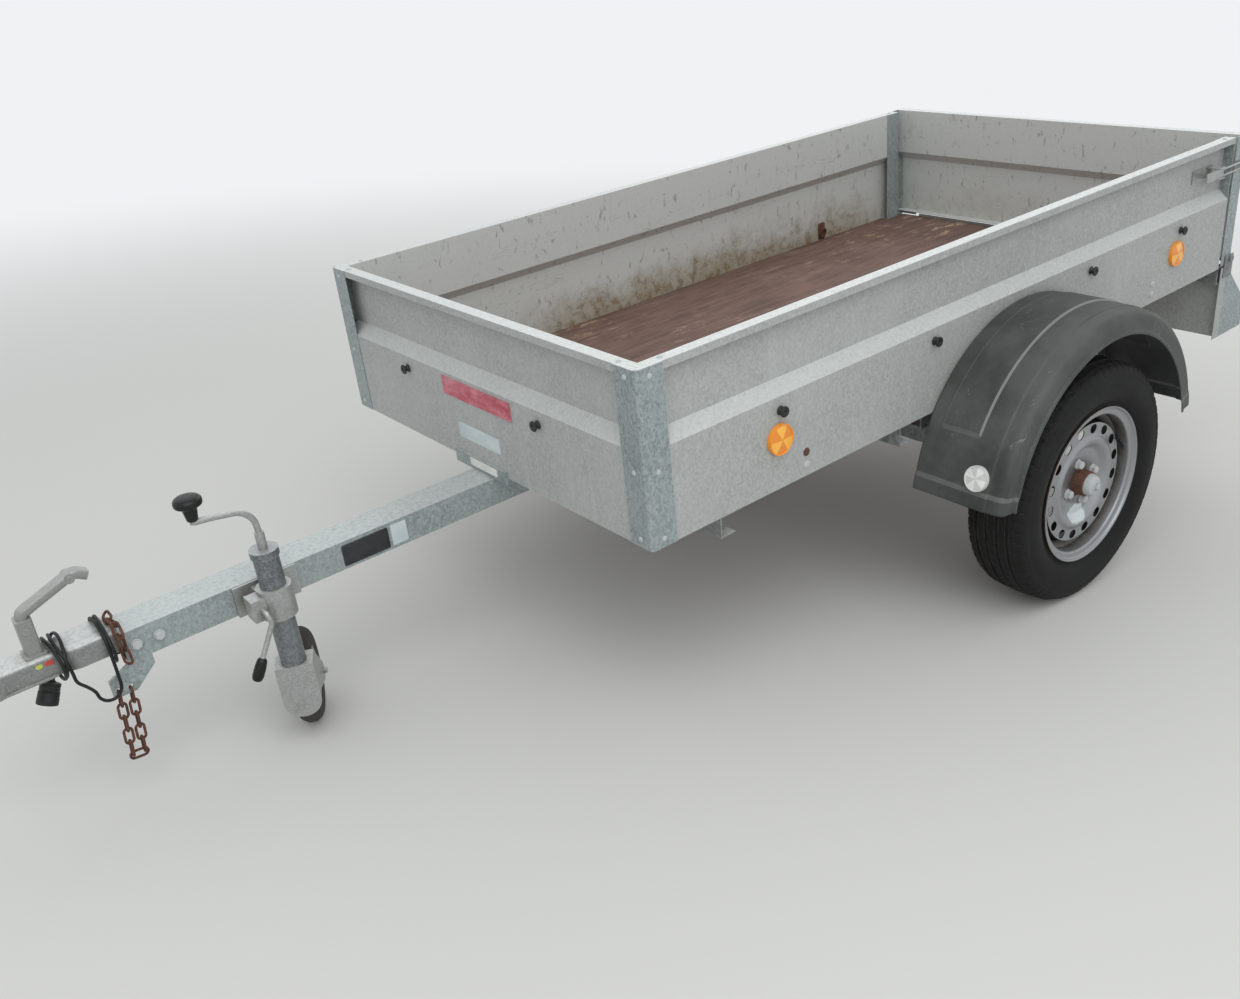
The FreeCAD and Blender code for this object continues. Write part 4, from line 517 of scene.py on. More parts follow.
def dull_black(name, base, faded, rough, dust, scuffs, fine=300.0, reach=0.02):
    """A dark moulding: faded in clouds, painted highlight on worn edges and on creases, scuffed in lines,
    dusty in corners.
    """
    black = Finish(name, base, Specular_IOR_Level=0.35)
    cloud = black.noise(black.level, 7.0, 5.0, 0.6)
    black.lay(black.stretch(cloud, 0.3, 0.7), faded)
    black.lay(scratches(black, 0.005, (9, 46, 12), (0.3, 0.2, 0)), tone(170, 172, 172), scuffs)
    # Pale edges: partly wear, partly painted highlight.
    black.lay(bevel_edges(black, 0.0018, 0.35), tone(142, 144, 144))
    # Painted highlight: pale lines where the mesh's share marks a crease.
    black.lay(mesh_share(black), tone(150, 152, 150), 0.6)
    powder = black.calc("MULTIPLY", blotches(black, 30.0, 0.35, 0.3), 0.35)
    black.lay(black.calc("MAXIMUM", powder, occluded_corners(black, reach, 1.0)), DUST, dust)
    black.give(Roughness=black.stretch(cloud, 0.3, 0.7, rough - 0.08, rough + 0.08))
    black.bump(black.noise(black.level, fine, 3.0), 0.25, 0.0003)
    return black


tyre_rubber = dull_black("tyre_rubber", tone(8, 8, 9), tone(18, 17, 17), 0.75, 0.4, 0.05, reach=0.008)
tyre_rubber.lay(blotches(tyre_rubber, 75.0, 0.1, 0.05), tone(140, 136, 128), 0.3)
mudguard_plastic = dull_black(
    "mudguard_plastic", tone(58, 60, 60), tone(86, 88, 87), 0.5, 0.25, 0.35, 240.0)
black_plastic = dull_black("black_plastic", tone(24, 25, 26), tone(40, 41, 42), 0.45, 0.35, 0.12)
grip_plastic = dull_black("grip_plastic", tone(15, 15, 16), tone(26, 26, 27), 0.3, 0.15, 0.10)
jockey_rubber = dull_black("jockey_rubber", tone(52, 50, 48), tone(72, 69, 64), 0.8, 0.7, 0.1)
cable_rubber = dull_black("cable_rubber", tone(17, 18, 19), tone(30, 31, 33), 0.5, 0.15, 0.05)

# %% [markdown]
# ## Wheel paint
# The rims are sprayed silver, with brown dirt and painted shade in the well and a chalky patch below
# the hub. Behind the disc the paint is darkened nearly to black, as painted shade.

# %% Silver paint
DISC_FACE = 0.7368
CHALK_SPOT, CHALK_SIZE = np.array((0.010 - AXLE_BACK, 0, -0.078)), np.array((30, 0, 46))
silver_paint = Finish("silver_wheel_paint", tone(140, 142, 144), Metallic=0.6)
level = silver_paint.level
silver_paint.lay(silver_paint.noise(level, 900.0, 2.0), tone(168, 170, 172))
film = blotches(silver_paint, 16.0, 0.42, 0.25)
silver_paint.lay(film, tone(124, 120, 112), 0.4)
# Dirt and painted shade: the occluded well is darkened to brown.
silver_paint.lay(occluded_corners(silver_paint, 0.045, 1.0), tone(104, 84, 56), 0.85)
to_spot = silver_paint.vector("MULTIPLY_ADD", level, CHALK_SIZE.tolist(),
                              (-CHALK_SIZE * CHALK_SPOT).tolist())["Vector"]
ragged = silver_paint.calc("ADD", silver_paint.vector("LENGTH", to_spot)["Value"],
                           silver_paint.noise(level, 60.0, 6.0, 0.7))
silver_paint.lay(silver_paint.stretch(ragged, 1.55, 1.4), tone(206, 214, 216))
silver_paint.lay(blotches(silver_paint, 42.0, 0.12, 0.04), tone(96, 62, 38), 0.8)
spoke = silver_paint.vector("MULTIPLY_ADD", level, (1, 0, 1), (AXLE_BACK, 0, 0))["Vector"]
reach = silver_paint.vector("LENGTH", spoke)["Value"]
across = silver_paint.calc("ABSOLUTE", silver_paint.add("SeparateXYZ", Vector=level).outputs["Y"])
ring = silver_paint.calc("MULTIPLY", silver_paint.stretch(reach, 0.104, 0.110),
                         silver_paint.stretch(reach, 0.152, 0.148))
behind = silver_paint.calc("MULTIPLY", silver_paint.stretch(across, DISC_FACE, DISC_FACE - 0.0003), ring)
shaded_back = silver_paint.calc("MAXIMUM", silver_paint.stretch(across, 0.728, 0.716), behind)
# Painted shade: the rim's back and the ring behind the disc are darkened nearly to black.
silver_paint.lay(shaded_back, tone(36, 33, 30), 0.92)
silver_paint.give(Roughness=silver_paint.stretch(film, 0.0, 1.0, 0.36, 0.6))
silver_paint.bump(silver_paint.noise(level, 220.0, 3.0), 0.15, 0.0003)


# %% [markdown]
# ## Rust and reflectors
# Bare iron has rusted: the hub, the grease cap and the chain. The reflectors are moulded in wedges
# that catch light in turn; that light is painted, as each wedge reads its own share of brightness
# from the mesh.

# %% Rust
def rust(name, fresh, old, metal_left, left_colour):
    """Iron with rust in two browns, and some of its old skin left."""
    iron = Finish(name, old)
    crust = iron.noise(iron.level, 90.0, 7.0, 0.7)
    iron.lay(iron.stretch(crust, 0.35, 0.65), fresh)
    iron.lay(blotches(iron, 32.0, metal_left, 0.1), left_colour)
    iron.lay(bevel_edges(iron, 0.0012, 0.4), left_colour)
    iron.give(Roughness=iron.stretch(crust, 0.3, 0.7, 0.65, 0.95))
    iron.bump(crust, 0.6, 0.0007)
    return iron


hub_rust = rust("rusty_hub", tone(108, 70, 50), tone(60, 44, 36), 0.3, tone(134, 124, 114))
chain_rust = rust("rusty_chain", tone(112, 70, 50), tone(62, 42, 34), 0.15, tone(136, 112, 96))
bolt_steel = rust("weathered_bolt", tone(128, 112, 98), tone(104, 100, 96), 0.85, tone(184, 188, 188))


# %% Reflectors and lenses
def reflector(name, deep, bright):
    """Moulded wedges as a painted reflection: the mesh's share picks deep or bright; fine prisms are bump.
    """
    glass = Finish(name, deep, Roughness=0.18, Coat_Weight=0.6)
    # Painted reflection: the share picks the bright colour on alternate wedges.
    glass.lay(mesh_share(glass), bright)
    glass.lay(blotches(glass, 60.0, 0.35, 0.3), DUST, 0.18)
    edges = {"feature": "DISTANCE_TO_EDGE"}
    glass.bump(glass.add("TexVoronoi", edges, Vector=glass.level, Scale=420.0).outputs[0], 0.5, 0.0005)
    return glass


amber_glass = reflector("amber_reflector", tone(238, 132, 16), tone(255, 188, 62))
white_glass = reflector("white_reflector", tone(208, 209, 206), tone(240, 240, 236))
red_lens = reflector("lamp_lens", tone(150, 12, 14), tone(196, 30, 28))
amber_lens = reflector("amber_lamp_lens", tone(206, 90, 14), tone(240, 138, 30))
clear_lens = reflector("clear_lamp_lens", tone(196, 198, 200), tone(232, 234, 236))


# %% [markdown]
# ## Plates and labels
# The plates are plain painted or printed sheets, and stay blank. Sun and rain have bleached the red
# one to pink in places, and the paper labels have a dirty edge.

# %% Plates and labels
def label(name, colour_one, colour_two, rough=0.5, darkening=0.3):
    """A printed sheet: its colour bleached in clouds, with a dirty film that gathers in blotches."""
    sheet = Finish(name, colour_one, Roughness=rough)
    washed = sheet.noise(sheet.stretched(sheet.level, (12, 12, 26)), 1.0, 6.0, 0.7)
    bleached = sheet.stretch(washed, 0.35, 0.68)
    sheet.lay(bleached, colour_two)
    sheet.lay(blotches(sheet, 36.0, 0.4, 0.25), tone(118, 114, 104), darkening)
    sheet.lay(bevel_edges(sheet, 0.002, 0.6), tone(150, 146, 138))
    sheet.bump(bleached, 0.1, 0.0003)
    return sheet


red_plate = label("red_plate", tone(176, 62, 80), tone(208, 134, 146))
white_plate = label("blank_plate", tone(214, 214, 208), tone(228, 228, 224), 0.4, 0.25)
pale_label = label("pale_label", tone(186, 200, 204), tone(206, 214, 214), 0.45)
type_plate = label("type_plate", tone(28, 29, 31), tone(46, 47, 49), 0.35, 0.25)
green_mark = label("green_mark", tone(168, 186, 52), tone(196, 204, 96))
red_mark = label("red_mark", tone(190, 48, 44), tone(204, 88, 80))
print("materials:", len(bpy.data.materials))


# %% [markdown]
# ## Finishes for the frame's own pieces
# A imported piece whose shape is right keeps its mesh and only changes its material. The table says
# which finish each one has.

# %% Dress the frame
FINISHES = {
    sheet_zinc: ["wall_left", "wall_right", "wall_front", "tailgate_panel"],
    panel_zinc: ["light_panel"],
    dipped_zinc: ["front_posts", "rear_jambs", "tailgate_posts", "lamp_guards", "drawbar", "front_bracket"],
    chassis_zinc: ["crossmembers", "axle_beam", "axle_brackets", "drawbar_saddle", "suspension_arm_left",
                   "suspension_arm_right", "tailgate_pivots"],
    plated_zinc: ["jockey_clamp", "jockey_fork", "jockey_axle", "jockey_crank", "catches"],
    coupler_zinc: ["coupler_body"],
    dull_zinc: ["jockey_outer_tube"],
    plywood: ["floor_panel"],
    black_plastic: ["tail_lamps"],
    red_plate: ["front_plate"],
    white_plate: ["rear_plate"],
}
for finish, names in FINISHES.items():
    for name in names:
        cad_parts[name].data.materials.clear()
        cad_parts[name].data.materials.append(finish.material)
print("dressed", sum(len(names) for names in FINISHES.values()), "packed pieces")

# %% [markdown]
# ## Shapes worked out with numpy
# A new piece is a surface over two parameters: a profile spun round an axle, an outline stacked into
# a plaque, or a bar carried along a path. The points come as whole arrays, and neighbours in the grid
# share quads.

# %% Grids, spun profiles and rounded corners
def mm(*points):
    """Points given in millimetres, as an array in metres."""
    return np.array(points, float) / 1000


def grid(points, wrap=(False, False)):
    """A surface from rows x columns of points: a quad between neighbours, wrapped where it closes."""
    rows, columns = points.shape[:2]
    index = np.arange(rows * columns).reshape(rows, columns)
    if wrap[0]:
        index = np.vstack([index, index[:1]])
    if wrap[1]:
        index = np.hstack([index, index[:, :1]])
    quads = np.stack([index[:-1, :-1], index[1:, :-1], index[1:, 1:], index[:-1, 1:]], -1)
    return points.reshape(-1, 3), quads.reshape(-1, 4)


def square_to(axis):
    """The axis at length 1, and two directions square to it and to each other."""
    axis = np.asarray(axis, float) / np.linalg.norm(axis)
    helper = (0, 0, 1) if abs(axis[2]) < 0.9 else (1, 0, 0)
    across = np.cross(helper, axis)
    across /= np.linalg.norm(across)
    return axis, across, np.cross(axis, across)


def turned(profile, steps, centre, axis=(0, 1, 0), start=0.0):
    """A profile of (along, radius) spun round an axis: centre + along axis + radius spoke(angle)."""
    along, radius = np.asarray(profile, float).T
    axis, across, rise = square_to(axis)
    angle = start + np.linspace(0, 2 * np.pi, steps, endpoint=False)[:, None]
    spoke = np.cos(angle) * across + np.sin(angle) * rise
    points = np.asarray(centre) + along[None, :, None] * axis + radius[None, :, None] * spoke[:, None]
    return grid(points, (True, False))


def rounded(corners, radius, steps=4):
    """An outline with each inner corner as a curve: (1-t)^2 before + 2t(1-t) corner + t^2 after."""
    corners = np.asarray(corners, float)
    runs = np.diff(corners, axis=0)
    lengths = np.linalg.norm(runs, axis=1, keepdims=True)
    reach = np.minimum(radius, 0.45 * np.minimum(lengths[:-1], lengths[1:]))
    before = corners[1:-1] - runs[:-1] / lengths[:-1] * reach
    after = corners[1:-1] + runs[1:] / lengths[1:] * reach
    t = np.linspace(0, 1, steps + 1)[None, :, None]
    middle = corners[1:-1, None]
    curves = (1 - t) ** 2 * before[:, None] + 2 * t * (1 - t) * middle + t ** 2 * after[:, None]
    return np.concatenate([corners[:1], curves.reshape(-1, corners.shape[1]), corners[-1:]])


# %% Plaques and bars
def round_rectangle(wide, high, radius, steps=6):
    """Outline of a rectangle whose corners are quarter circles, as (across, up) pairs."""
    angle = np.arange(4)[:, None] * np.pi / 2 + np.linspace(0, np.pi / 2, steps)[None]
    corner = np.array([(1, 1), (-1, 1), (-1, -1), (1, -1)]) * (wide / 2 - radius, high / 2 - radius)
    return (corner[:, None] + radius * np.stack([np.cos(angle), np.sin(angle)], -1)).reshape(-1, 2)


def plaque(outline, stack, centre, across, rise):
    """An outline stacked outwards: at each (share, height) it is shrunk to share and raised by height."""
    out = np.cross(across, rise)
    flat = outline[:, :1] * np.asarray(across) + outline[:, 1:] * np.asarray(rise)
    share, height = np.asarray(stack, float).T
    points = np.asarray(centre) + share[:, None, None] * flat + height[:, None, None] * out
    return grid(points, (False, True))


def swept(path, outline, normal, closed=False):
    """An outline (across, out) carried along a path: path + across rise + out side, square to it."""
    path = np.asarray(path, float)
    ahead = np.roll(path, -1, 0) - np.roll(path, 1, 0) if closed else np.gradient(path, axis=0)
    out = np.cross(ahead, normal)
    out /= np.linalg.norm(out, axis=1, keepdims=True)
    rise = np.cross(out, ahead)
    rise /= np.linalg.norm(rise, axis=1, keepdims=True)
    sizes = np.ones(len(path))
    if not closed:
        path, out, rise = (np.concatenate([a[:1], a, a[-1:]]) for a in (path, out, rise))
        sizes = np.concatenate([[0], sizes, [0]])
    ring = outline[:, :1] * rise[:, None] + outline[:, 1:] * out[:, None]
    return grid(path[:, None] + sizes[:, None, None] * ring, (closed, True))


def bar(path, radius, normal, sides=12, closed=False):
    """A round bar along a path: the outline is radius (cos t, sin t)."""
    t = np.linspace(0, 2 * np.pi, sides, endpoint=False)
    return swept(path, radius * np.stack([np.cos(t), np.sin(t)], -1), normal, closed)


# %% A finished piece
MERGE = 2e-6


def new_piece(name, surfaces, finish, stands_for=(), sharp=40, body="root", shares=None, close=True):
    """One mesh from level surfaces: placed, merged, turned outwards and given to its body."""
    starts = np.cumsum([0] + [len(points) for points, quads in surfaces])
    points = np.concatenate([points for points, quads in surfaces])
    quads = np.concatenate([quads + start for start, (_, quads) in zip(starts, surfaces)])
    mesh = bpy.data.meshes.new(name)
    mesh.from_pydata(place(points), [], quads.tolist())
    if shares is not None:
        share = mesh.attributes.new("share", "FLOAT", "FACE")
        share.data.foreach_set("value", np.asarray(shares, np.float32))
    if close:
        work = bmesh.new()
        work.from_mesh(mesh)
        bmesh.ops.remove_doubles(work, verts=work.verts, dist=MERGE)
        bmesh.ops.recalc_face_normals(work, faces=work.faces)
        work.to_mesh(mesh)
        work.free()
    mesh.shade_smooth()
    mesh.set_sharp_from_angle(angle=math.radians(sharp))
    mesh.materials.append(finish.material)
    piece = bpy.data.objects.new(name, mesh)
    scene.collection.objects.link(piece)
    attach(piece, body)
    if stands_for:
        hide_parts(*stands_for)
    print(name, sum(len(face.vertices) - 2 for face in mesh.polygons), "triangles")
    return piece


def thickened(piece, thickness):
    """Solidify gives a one-sided sheet its wall, grown inwards from the face that was worked out."""
    wall = piece.modifiers.new("wall", "SOLIDIFY")
    wall.thickness = thickness
    wall.offset = -1


# %% [markdown]
# ## Cable
# The lighting cable comes out of the drawbar's end, is wound twice round the neck's rear, loops down
# and on to the front, is wound two and a half times there, and ends in its plug below. It is one
# NURBS curve: the route's points are its control points, and a turn is more points of the same curve.

# %% Cable
CABLE_R = 0.003
LEAD = mm((783.8, 3, 166), (793, 3, 166), (801, 2.5, 166), (808, 0, 166))
LOOP = mm((822.1, 54, 186), (822.1, 54.5, 166), (822.6, 55, 146), (823, 56, 127), (835, 59, 115),
          (852, 60, 115), (864, 59, 127), (865, 58, 142), (876, 51, 156), (888, 47, 168), (888, 47, 186))
DROP = mm((901.2, -47, 186), (901.2, -47, 168), (910.5, -42.5, 152))
TURN_POINTS = 20
CUT_INSIDE = (3 + math.cos(2 * math.pi / TURN_POINTS)) / 4


def winding(first_x, last_x, wide, high, level, start, stop, fan):
    """Turns round the neck: y = wide cos(a), z = level + high sin(a), x fanned by cos(a / 2.6) sin(a)."""
    turns = abs(stop - start) / 360
    steps = int(round(turns * TURN_POINTS))
    share = np.linspace(0, 1, steps + 1)[1:-1]
    angle = np.radians(start + (stop - start) * share)
    swell = 1 / CUT_INSIDE + 0.05 * np.sin(np.pi * share) * (1 + np.sin(0.7 * angle))
    x = first_x + (last_x - first_x) * share + fan * np.cos(angle / 2.6) * np.sin(angle)
    return mm(*zip(x, wide * swell * np.cos(angle), level + high * swell * np.sin(angle)))


rear_turns = winding(812.5, 822.1, 54, 38, 204.0, -90, -720, -4.0)
front_turns = winding(888.0, 901.2, 47, 37, 206.0, 0, 900, 10.0)
route = np.concatenate([LEAD, rear_turns, LOOP, front_turns, DROP])
curve = bpy.data.curves.new("cable_run", "CURVE")
curve.dimensions = "3D"
curve.bevel_depth = CABLE_R
curve.bevel_resolution = 4
curve.resolution_u = 5
curve.use_fill_caps = True
spline = curve.splines.new("NURBS")
spline.points.add(len(route) - 1)
spline.points.foreach_set("co", np.hstack([place(route), np.ones((len(route), 1))]).ravel())
spline.order_u = 3
spline.use_endpoint_u = True
curve.materials.append(cable_rubber.material)
cable_piece = bpy.data.objects.new("lighting_cable", curve)
scene.collection.objects.link(cable_piece)
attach(cable_piece, "root")
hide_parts("cable", "cable_coils")
print("cable's control points:", len(route))

# %% [markdown]
# ## Plug
# A moulded plug: a ribbed boot that grips the cable, a ribbed barrel and a rim round the pins. All of
# it is one profile spun round the cable's last direction.

# %% Plug
PLUG_PROFILE = mm(
    (-2, 0), (-2, 4.4), (2, 5.2), (4, 4.6), (6, 6.6), (8, 5.8), (10, 8.4), (12, 9), (12.5, 15), (14.5, 18),
    (20, 18.2), (21.5, 16.8), (23, 18.4), (24.5, 16.8), (26, 18.4), (27.5, 16.8), (29, 18.6), (40, 18.6),
    (41, 19), (52, 19), (53, 17.8), (53, 16), (46, 15.8), (46, 0))
PIN_PROFILE = mm((45, 0), (45, 2.2), (51.5, 2.2), (52, 1.6), (52, 0))
PINS_ROUND, PIN_CIRCLE = 6, 0.0095
plug_foot, plug_way = DROP[-1], DROP[-1] - DROP[-2]
way, across, rise = square_to(plug_way)
turns = np.append(2 * np.pi * np.arange(PINS_ROUND) / PINS_ROUND, 0)[:, None]
reaches = np.array([PIN_CIRCLE] * PINS_ROUND + [0])[:, None]
pin_feet = plug_foot + reaches * (np.cos(turns) * across + np.sin(turns) * rise)
plug_piece = new_piece("lighting_plug", [turned(rounded(PLUG_PROFILE, 0.0009, 2), 40, plug_foot, plug_way)]
                       + [turned(PIN_PROFILE, 10, foot, plug_way) for foot in pin_feet],
                       black_plastic, ["plug"], 30)

# %% [markdown]
# ## Safety chain
# Each link is round wire bent to a long ring. Links hang in one another a quarter turn apart, in two
# strands that meet in the lowest link, and a few more lie over the coupler's neck.

# %% A link
WIRE, INSIDE, OUTER = 0.005, 0.027, 0.020
PLAY = 0.0003
LINK_BAR = INSIDE + WIRE
LINK_GRIP = WIRE + PLAY
LINK_PITCH = LINK_BAR - LINK_GRIP


def link(centre, along, across):
    """Round wire on a long ring: (straight sign(cos t) + bend cos t) along + bend sin t across."""
    bend = (OUTER - WIRE) / 2
    straight = LINK_BAR / 2 - bend
    t = np.linspace(0, 2 * np.pi, 28, endpoint=False) + 0.01
    ring = (straight * np.sign(np.cos(t)) + bend * np.cos(t))[:, None] * np.asarray(along)
    ring = ring + (bend * np.sin(t))[:, None] * np.asarray(across)
    return bar(np.asarray(centre) + ring, WIRE / 2, np.cross(along, across), 10, True)


# %% Safety chain
LINK_DROP = 0.00148
LUG_HOLE = np.array((0.807, 0.0375, 0.113))
STRAND = 5
LINKS_OVER_NECK, FIRST_OVER_NECK = 5, 0.014
HALF_LENGTH = 0.012
NECK_WALK = rounded(mm((798.5, -20, 237.2), (798.5, 46, 237.2), (797.5, 48.2, 170)), 0.012, 6)
down = np.array((math.sin(NOSE_DOWN), 0, -math.cos(NOSE_DOWN)))
ahead = np.array((math.cos(NOSE_DOWN), 0, math.sin(NOSE_DOWN)))
links = []
for strand in (0, 1):
    for number in range(STRAND):
        centre = LUG_HOLE + strand * (LINK_BAR - 2 * LINK_GRIP) * ahead
        centre = centre + (LINK_DROP + LINK_BAR / 2 + number * LINK_PITCH) * down
        links.append(link(centre, down, (0, 1, 0) if number % 2 == 0 else ahead))
lowest = LUG_HOLE + (LINK_BAR / 2 - LINK_GRIP) * ahead
lowest = lowest + (LINK_DROP + LINK_BAR + (STRAND - 1) * LINK_PITCH) * down
links.append(link(lowest, ahead, down))
walked = np.concatenate([[0], np.cumsum(np.linalg.norm(np.diff(NECK_WALK, axis=0), axis=1))])
for number in range(LINKS_OVER_NECK):
    at = FIRST_OVER_NECK + number * LINK_PITCH + np.array((HALF_LENGTH, 0, -HALF_LENGTH))
    front, middle, back = np.stack([np.interp(at, walked, column) for column in NECK_WALK.T], -1)
    along = (front - back) / np.linalg.norm(front - back)
    tilt = 1 if number % 2 == 0 else -1
    links.append(link(middle, along, ((1, 0, 0) + tilt * np.cross(along, (1, 0, 0))) / math.sqrt(2)))
new_piece("safety_chain_links", links, chain_rust, ["safety_chain"])

# %% [markdown]
# ## Tyres
# A tyre is its section spun round the axle. The tread half of the section has four grooves, and the
# radius also changes round the wheel: short notches cut the shoulders into blocks.

# %% Tyres
TRACK = 0.694
TYRE_R = 0.285
GROOVES = (-0.039, -0.0135, 0.0135, 0.039)
GROOVE_HALF, GROOVE_DEPTH = 0.0042, 0.0065
TREAD_HALF = 0.0595
NOTCHES = 66
SIDEWALL = mm((56, 166), (56.2, 179), (60, 186), (59.8, 188.5), (64, 194), (73, 208), (76.5, 223),
              (75.8, 240), (73.5, 252), (72.8, 255.5), (73.5, 257), (70, 268), (66, 275.5))
SIDES = (("left", 1), ("right", -1))
WHEELS = [(side, "wheel_" + side, np.array((-AXLE_BACK, way * TRACK, 0)), (0, way, 0))
          for side, way in SIDES]


def ease(value, low, high):
    """0 below low, 1 above high, and a smooth step 3t^2 - 2t^3 between them."""
    t = np.clip((value - low) / (high - low), 0, 1)
    return t * t * (3 - 2 * t)


def tyre(centre, steps=504):
    """Sidewall curve, tread and other sidewall, spun round y with shoulder notches as radius(angle)."""
    wall = rounded(SIDEWALL, 0.006, 2)
    across = np.linspace(-TREAD_HALF, TREAD_HALF, 61)
    radius = TYRE_R - 0.0035 * (across / TREAD_HALF) ** 2 - 0.004 * ease(np.abs(across), 0.05, 0.0615)
    nearest = np.abs(across[:, None] - np.array(GROOVES)).min(1)
    radius = radius - GROOVE_DEPTH * (1 - ease(nearest, GROOVE_HALF - 0.0012, GROOVE_HALF))
    section = np.concatenate([wall * (-1, 1), np.stack([across, radius], -1), wall[::-1]])
    angle = np.linspace(0, 2 * np.pi, steps, endpoint=False)[:, None]
    along, radius = section.T[:, None]
    shoulder = ease(np.abs(along), 0.045, 0.049) * ease(radius, 0.262, 0.272)
    swing = np.cos(NOTCHES * angle + 52 * along)
    radius = radius - 0.0035 * shoulder * ease(swing, 0.72, 0.92)
    sipe = np.cos(NOTCHES * angle + 90 * along)
    grooved = (radius > TYRE_R - 0.003) * (1 - ease(np.abs(along), 0.030, 0.034))
    radius = radius - 0.0022 * grooved * ease(sipe, 0.93, 0.99)
    points = np.stack([radius * np.cos(angle), along + 0 * angle, radius * np.sin(angle)], -1)
    return grid(points + centre, (True, True))


for side, body, centre, axis in WHEELS:
    new_piece("tyre_" + side, [tyre(centre)], tyre_rubber, [body + "_tyre"], 50, body)

# %% [markdown]
# ## Rims
# The barrel is a spun profile. The disc is spun too, but its sixteen vents are real openings: round
# each vent the square cells are pushed outwards onto an oval, and the cells inside are left out.

# %% Rims
RIM_LINE = mm((67.2, 184), (60.2, 181), (57.2, 176), (57.2, 165.5), (26, 165.5), (19, 146), (-12, 146),
              (-20, 165.5), (-57.2, 165.5), (-57.2, 176), (-60.2, 181), (-67.2, 184))
DISC_LINE = mm((8, 142.5), (40, 142.5), (43, 141), (43, 113), (50, 104), (47, 93), (34, 80), (34, 30))
FLAT_OUT = 0.043
VENTS, VENT_CELLS = 16, 24
VENT_R, VENT_BAND = 0.1270, 0.0120
VENT_WIDE, VENT_HIGH = 0.52, 0.90
RIM_SHEET = 0.0025


def vented_disc(centre, axis):
    """Disc line spun round; near a vent (u, v) moves to (1 - t) (wide cos, high sin) + t (u, v) / m."""
    line = rounded(DISC_LINE, 0.004, 4)
    band = VENT_R + VENT_BAND * np.linspace(1, -1, 13)
    flat = np.stack([FLAT_OUT + 0 * band, band], -1)
    line = np.concatenate([line[line[:, 1] > band[0]], flat, line[line[:, 1] < band[-1]]])
    turn = np.arange(VENTS * VENT_CELLS)[:, None]
    half = VENT_CELLS / 2
    u = turn % VENT_CELLS / half - 1
    v = (line[:, 1] - VENT_R)[None] / VENT_BAND
    m = np.maximum(np.maximum(np.abs(u), np.abs(v)), 1e-3)
    t = np.clip(2 * m - 1, 0, 1)
    direction = np.arctan2(v, u)
    near = np.abs(v) < 1.001
    moved_u = (1 - t) * VENT_WIDE * np.cos(direction) + t * u / m
    moved_v = (1 - t) * VENT_HIGH * np.sin(direction) + t * v / m
    middle = turn - turn % VENT_CELLS + half
    angle = np.where(near, middle + half * moved_u, turn) * 2 * np.pi / (VENTS * VENT_CELLS)
    radius = np.where(near, VENT_R + VENT_BAND * moved_v, line[:, 1])
    axis, across, rise = square_to(axis)
    spoke = np.cos(angle)[..., None] * across + np.sin(angle)[..., None] * rise
    points, quads = grid(centre + line[:, :1] * axis + radius[..., None] * spoke, (True, False))
    quads = quads[(m.ravel()[quads] > 0.499).all(1)]
    kept, quads = np.unique(quads, return_inverse=True)
    return points[kept], quads.reshape(-1, 4)


for side, body, centre, axis in WHEELS:
    barrel = turned(rounded(RIM_LINE[::-1], 0.003, 3), 144, centre, axis)
    rim = new_piece("rim_" + side, [barrel, vented_disc(centre, axis)], silver_paint,
                    [body + "_rim"], 35, body, close=False)
    thickened(rim, RIM_SHEET)

# %% [markdown]
# ## Hubs, wheel bolts and valves
# The grease cap has lost its paint and rusted round a bright nut. Six steps of the same spun profile
# make a hexagon, so the bolt heads are turned shapes as well.

# %% Hubs
HUB_PROFILE = mm((-211, 0), (-211, 34), (18, 34), (18, 68), (30, 68), (30, 34), (36, 31), (56, 29),
                 (58, 26), (58, 0))
CAP_PROFILE = mm((57, 0), (57, 25.5), (64, 24.5), (71, 22.5), (74.5, 19), (74.5, 13.5), (77.5, 13),
                 (77.5, 8.5), (74.5, 8), (74.5, 0))
NUT_PROFILE = mm((74, 0), (74, 7.8), (81, 7.8), (83, 6), (83, 0))
BOLT_PROFILE = mm((33, 0), (33, 12.5), (36.5, 12.5), (37.5, 9.8), (45.5, 9.8), (47.5, 7.8), (47.8, 0))
STEM_PROFILE = mm((-4, 0), (-4, 6.2), (4, 6.2), (12, 4.2), (30, 3.6), (31, 4.4), (41, 4.4), (43, 3),
                  (43, 0))
BOLT_CIRCLE, BOLT_TURNS = 0.050, np.radians(np.arange(4) * 90 - 16)
VALVE_ANGLE, VALVE_R, VALVE_OUT, VALVE_LEAN = math.radians(152), 0.146, 0.045, 0.9


def spokes(angles):
    """Unit directions in a wheel's plane, (cos a, 0, sin a)."""
    return np.stack([np.cos(angles), 0 * angles, np.sin(angles)], -1)


for side, body, centre, axis in WHEELS:
    hub = turned(rounded(HUB_PROFILE, 0.002, 3), 64, centre, axis)
    new_piece("hub_" + side, [hub], hub_rust, [body + "_hub"], 30, body)
    heads = [turned(BOLT_PROFILE, 6, centre + BOLT_CIRCLE * out, axis, 0.3) for out in spokes(BOLT_TURNS)]
    heads.append(turned(rounded(CAP_PROFILE, 0.0015, 3), 48, centre, axis))
    heads.append(turned(NUT_PROFILE, 6, centre, axis, 0.2))
    new_piece("wheel_bolts_" + side, heads, bolt_steel, (), 25, body)
    out = spokes(np.array(VALVE_ANGLE))
    foot = centre + VALVE_R * out + VALVE_OUT * np.array(axis)
    stem = turned(STEM_PROFILE, 16, foot, axis - VALVE_LEAN * out)
    new_piece("valve_" + side, [stem], black_plastic, body=body)

# %% [markdown]
# ## Mudguards
# A mudguard is one moulded sheet: its section is carried round the wheel. Where the sheet steps out,
# at the raised panel on its crown and the bands at both ends, the radius grows by a smooth step, and
# Solidify gives the wall.

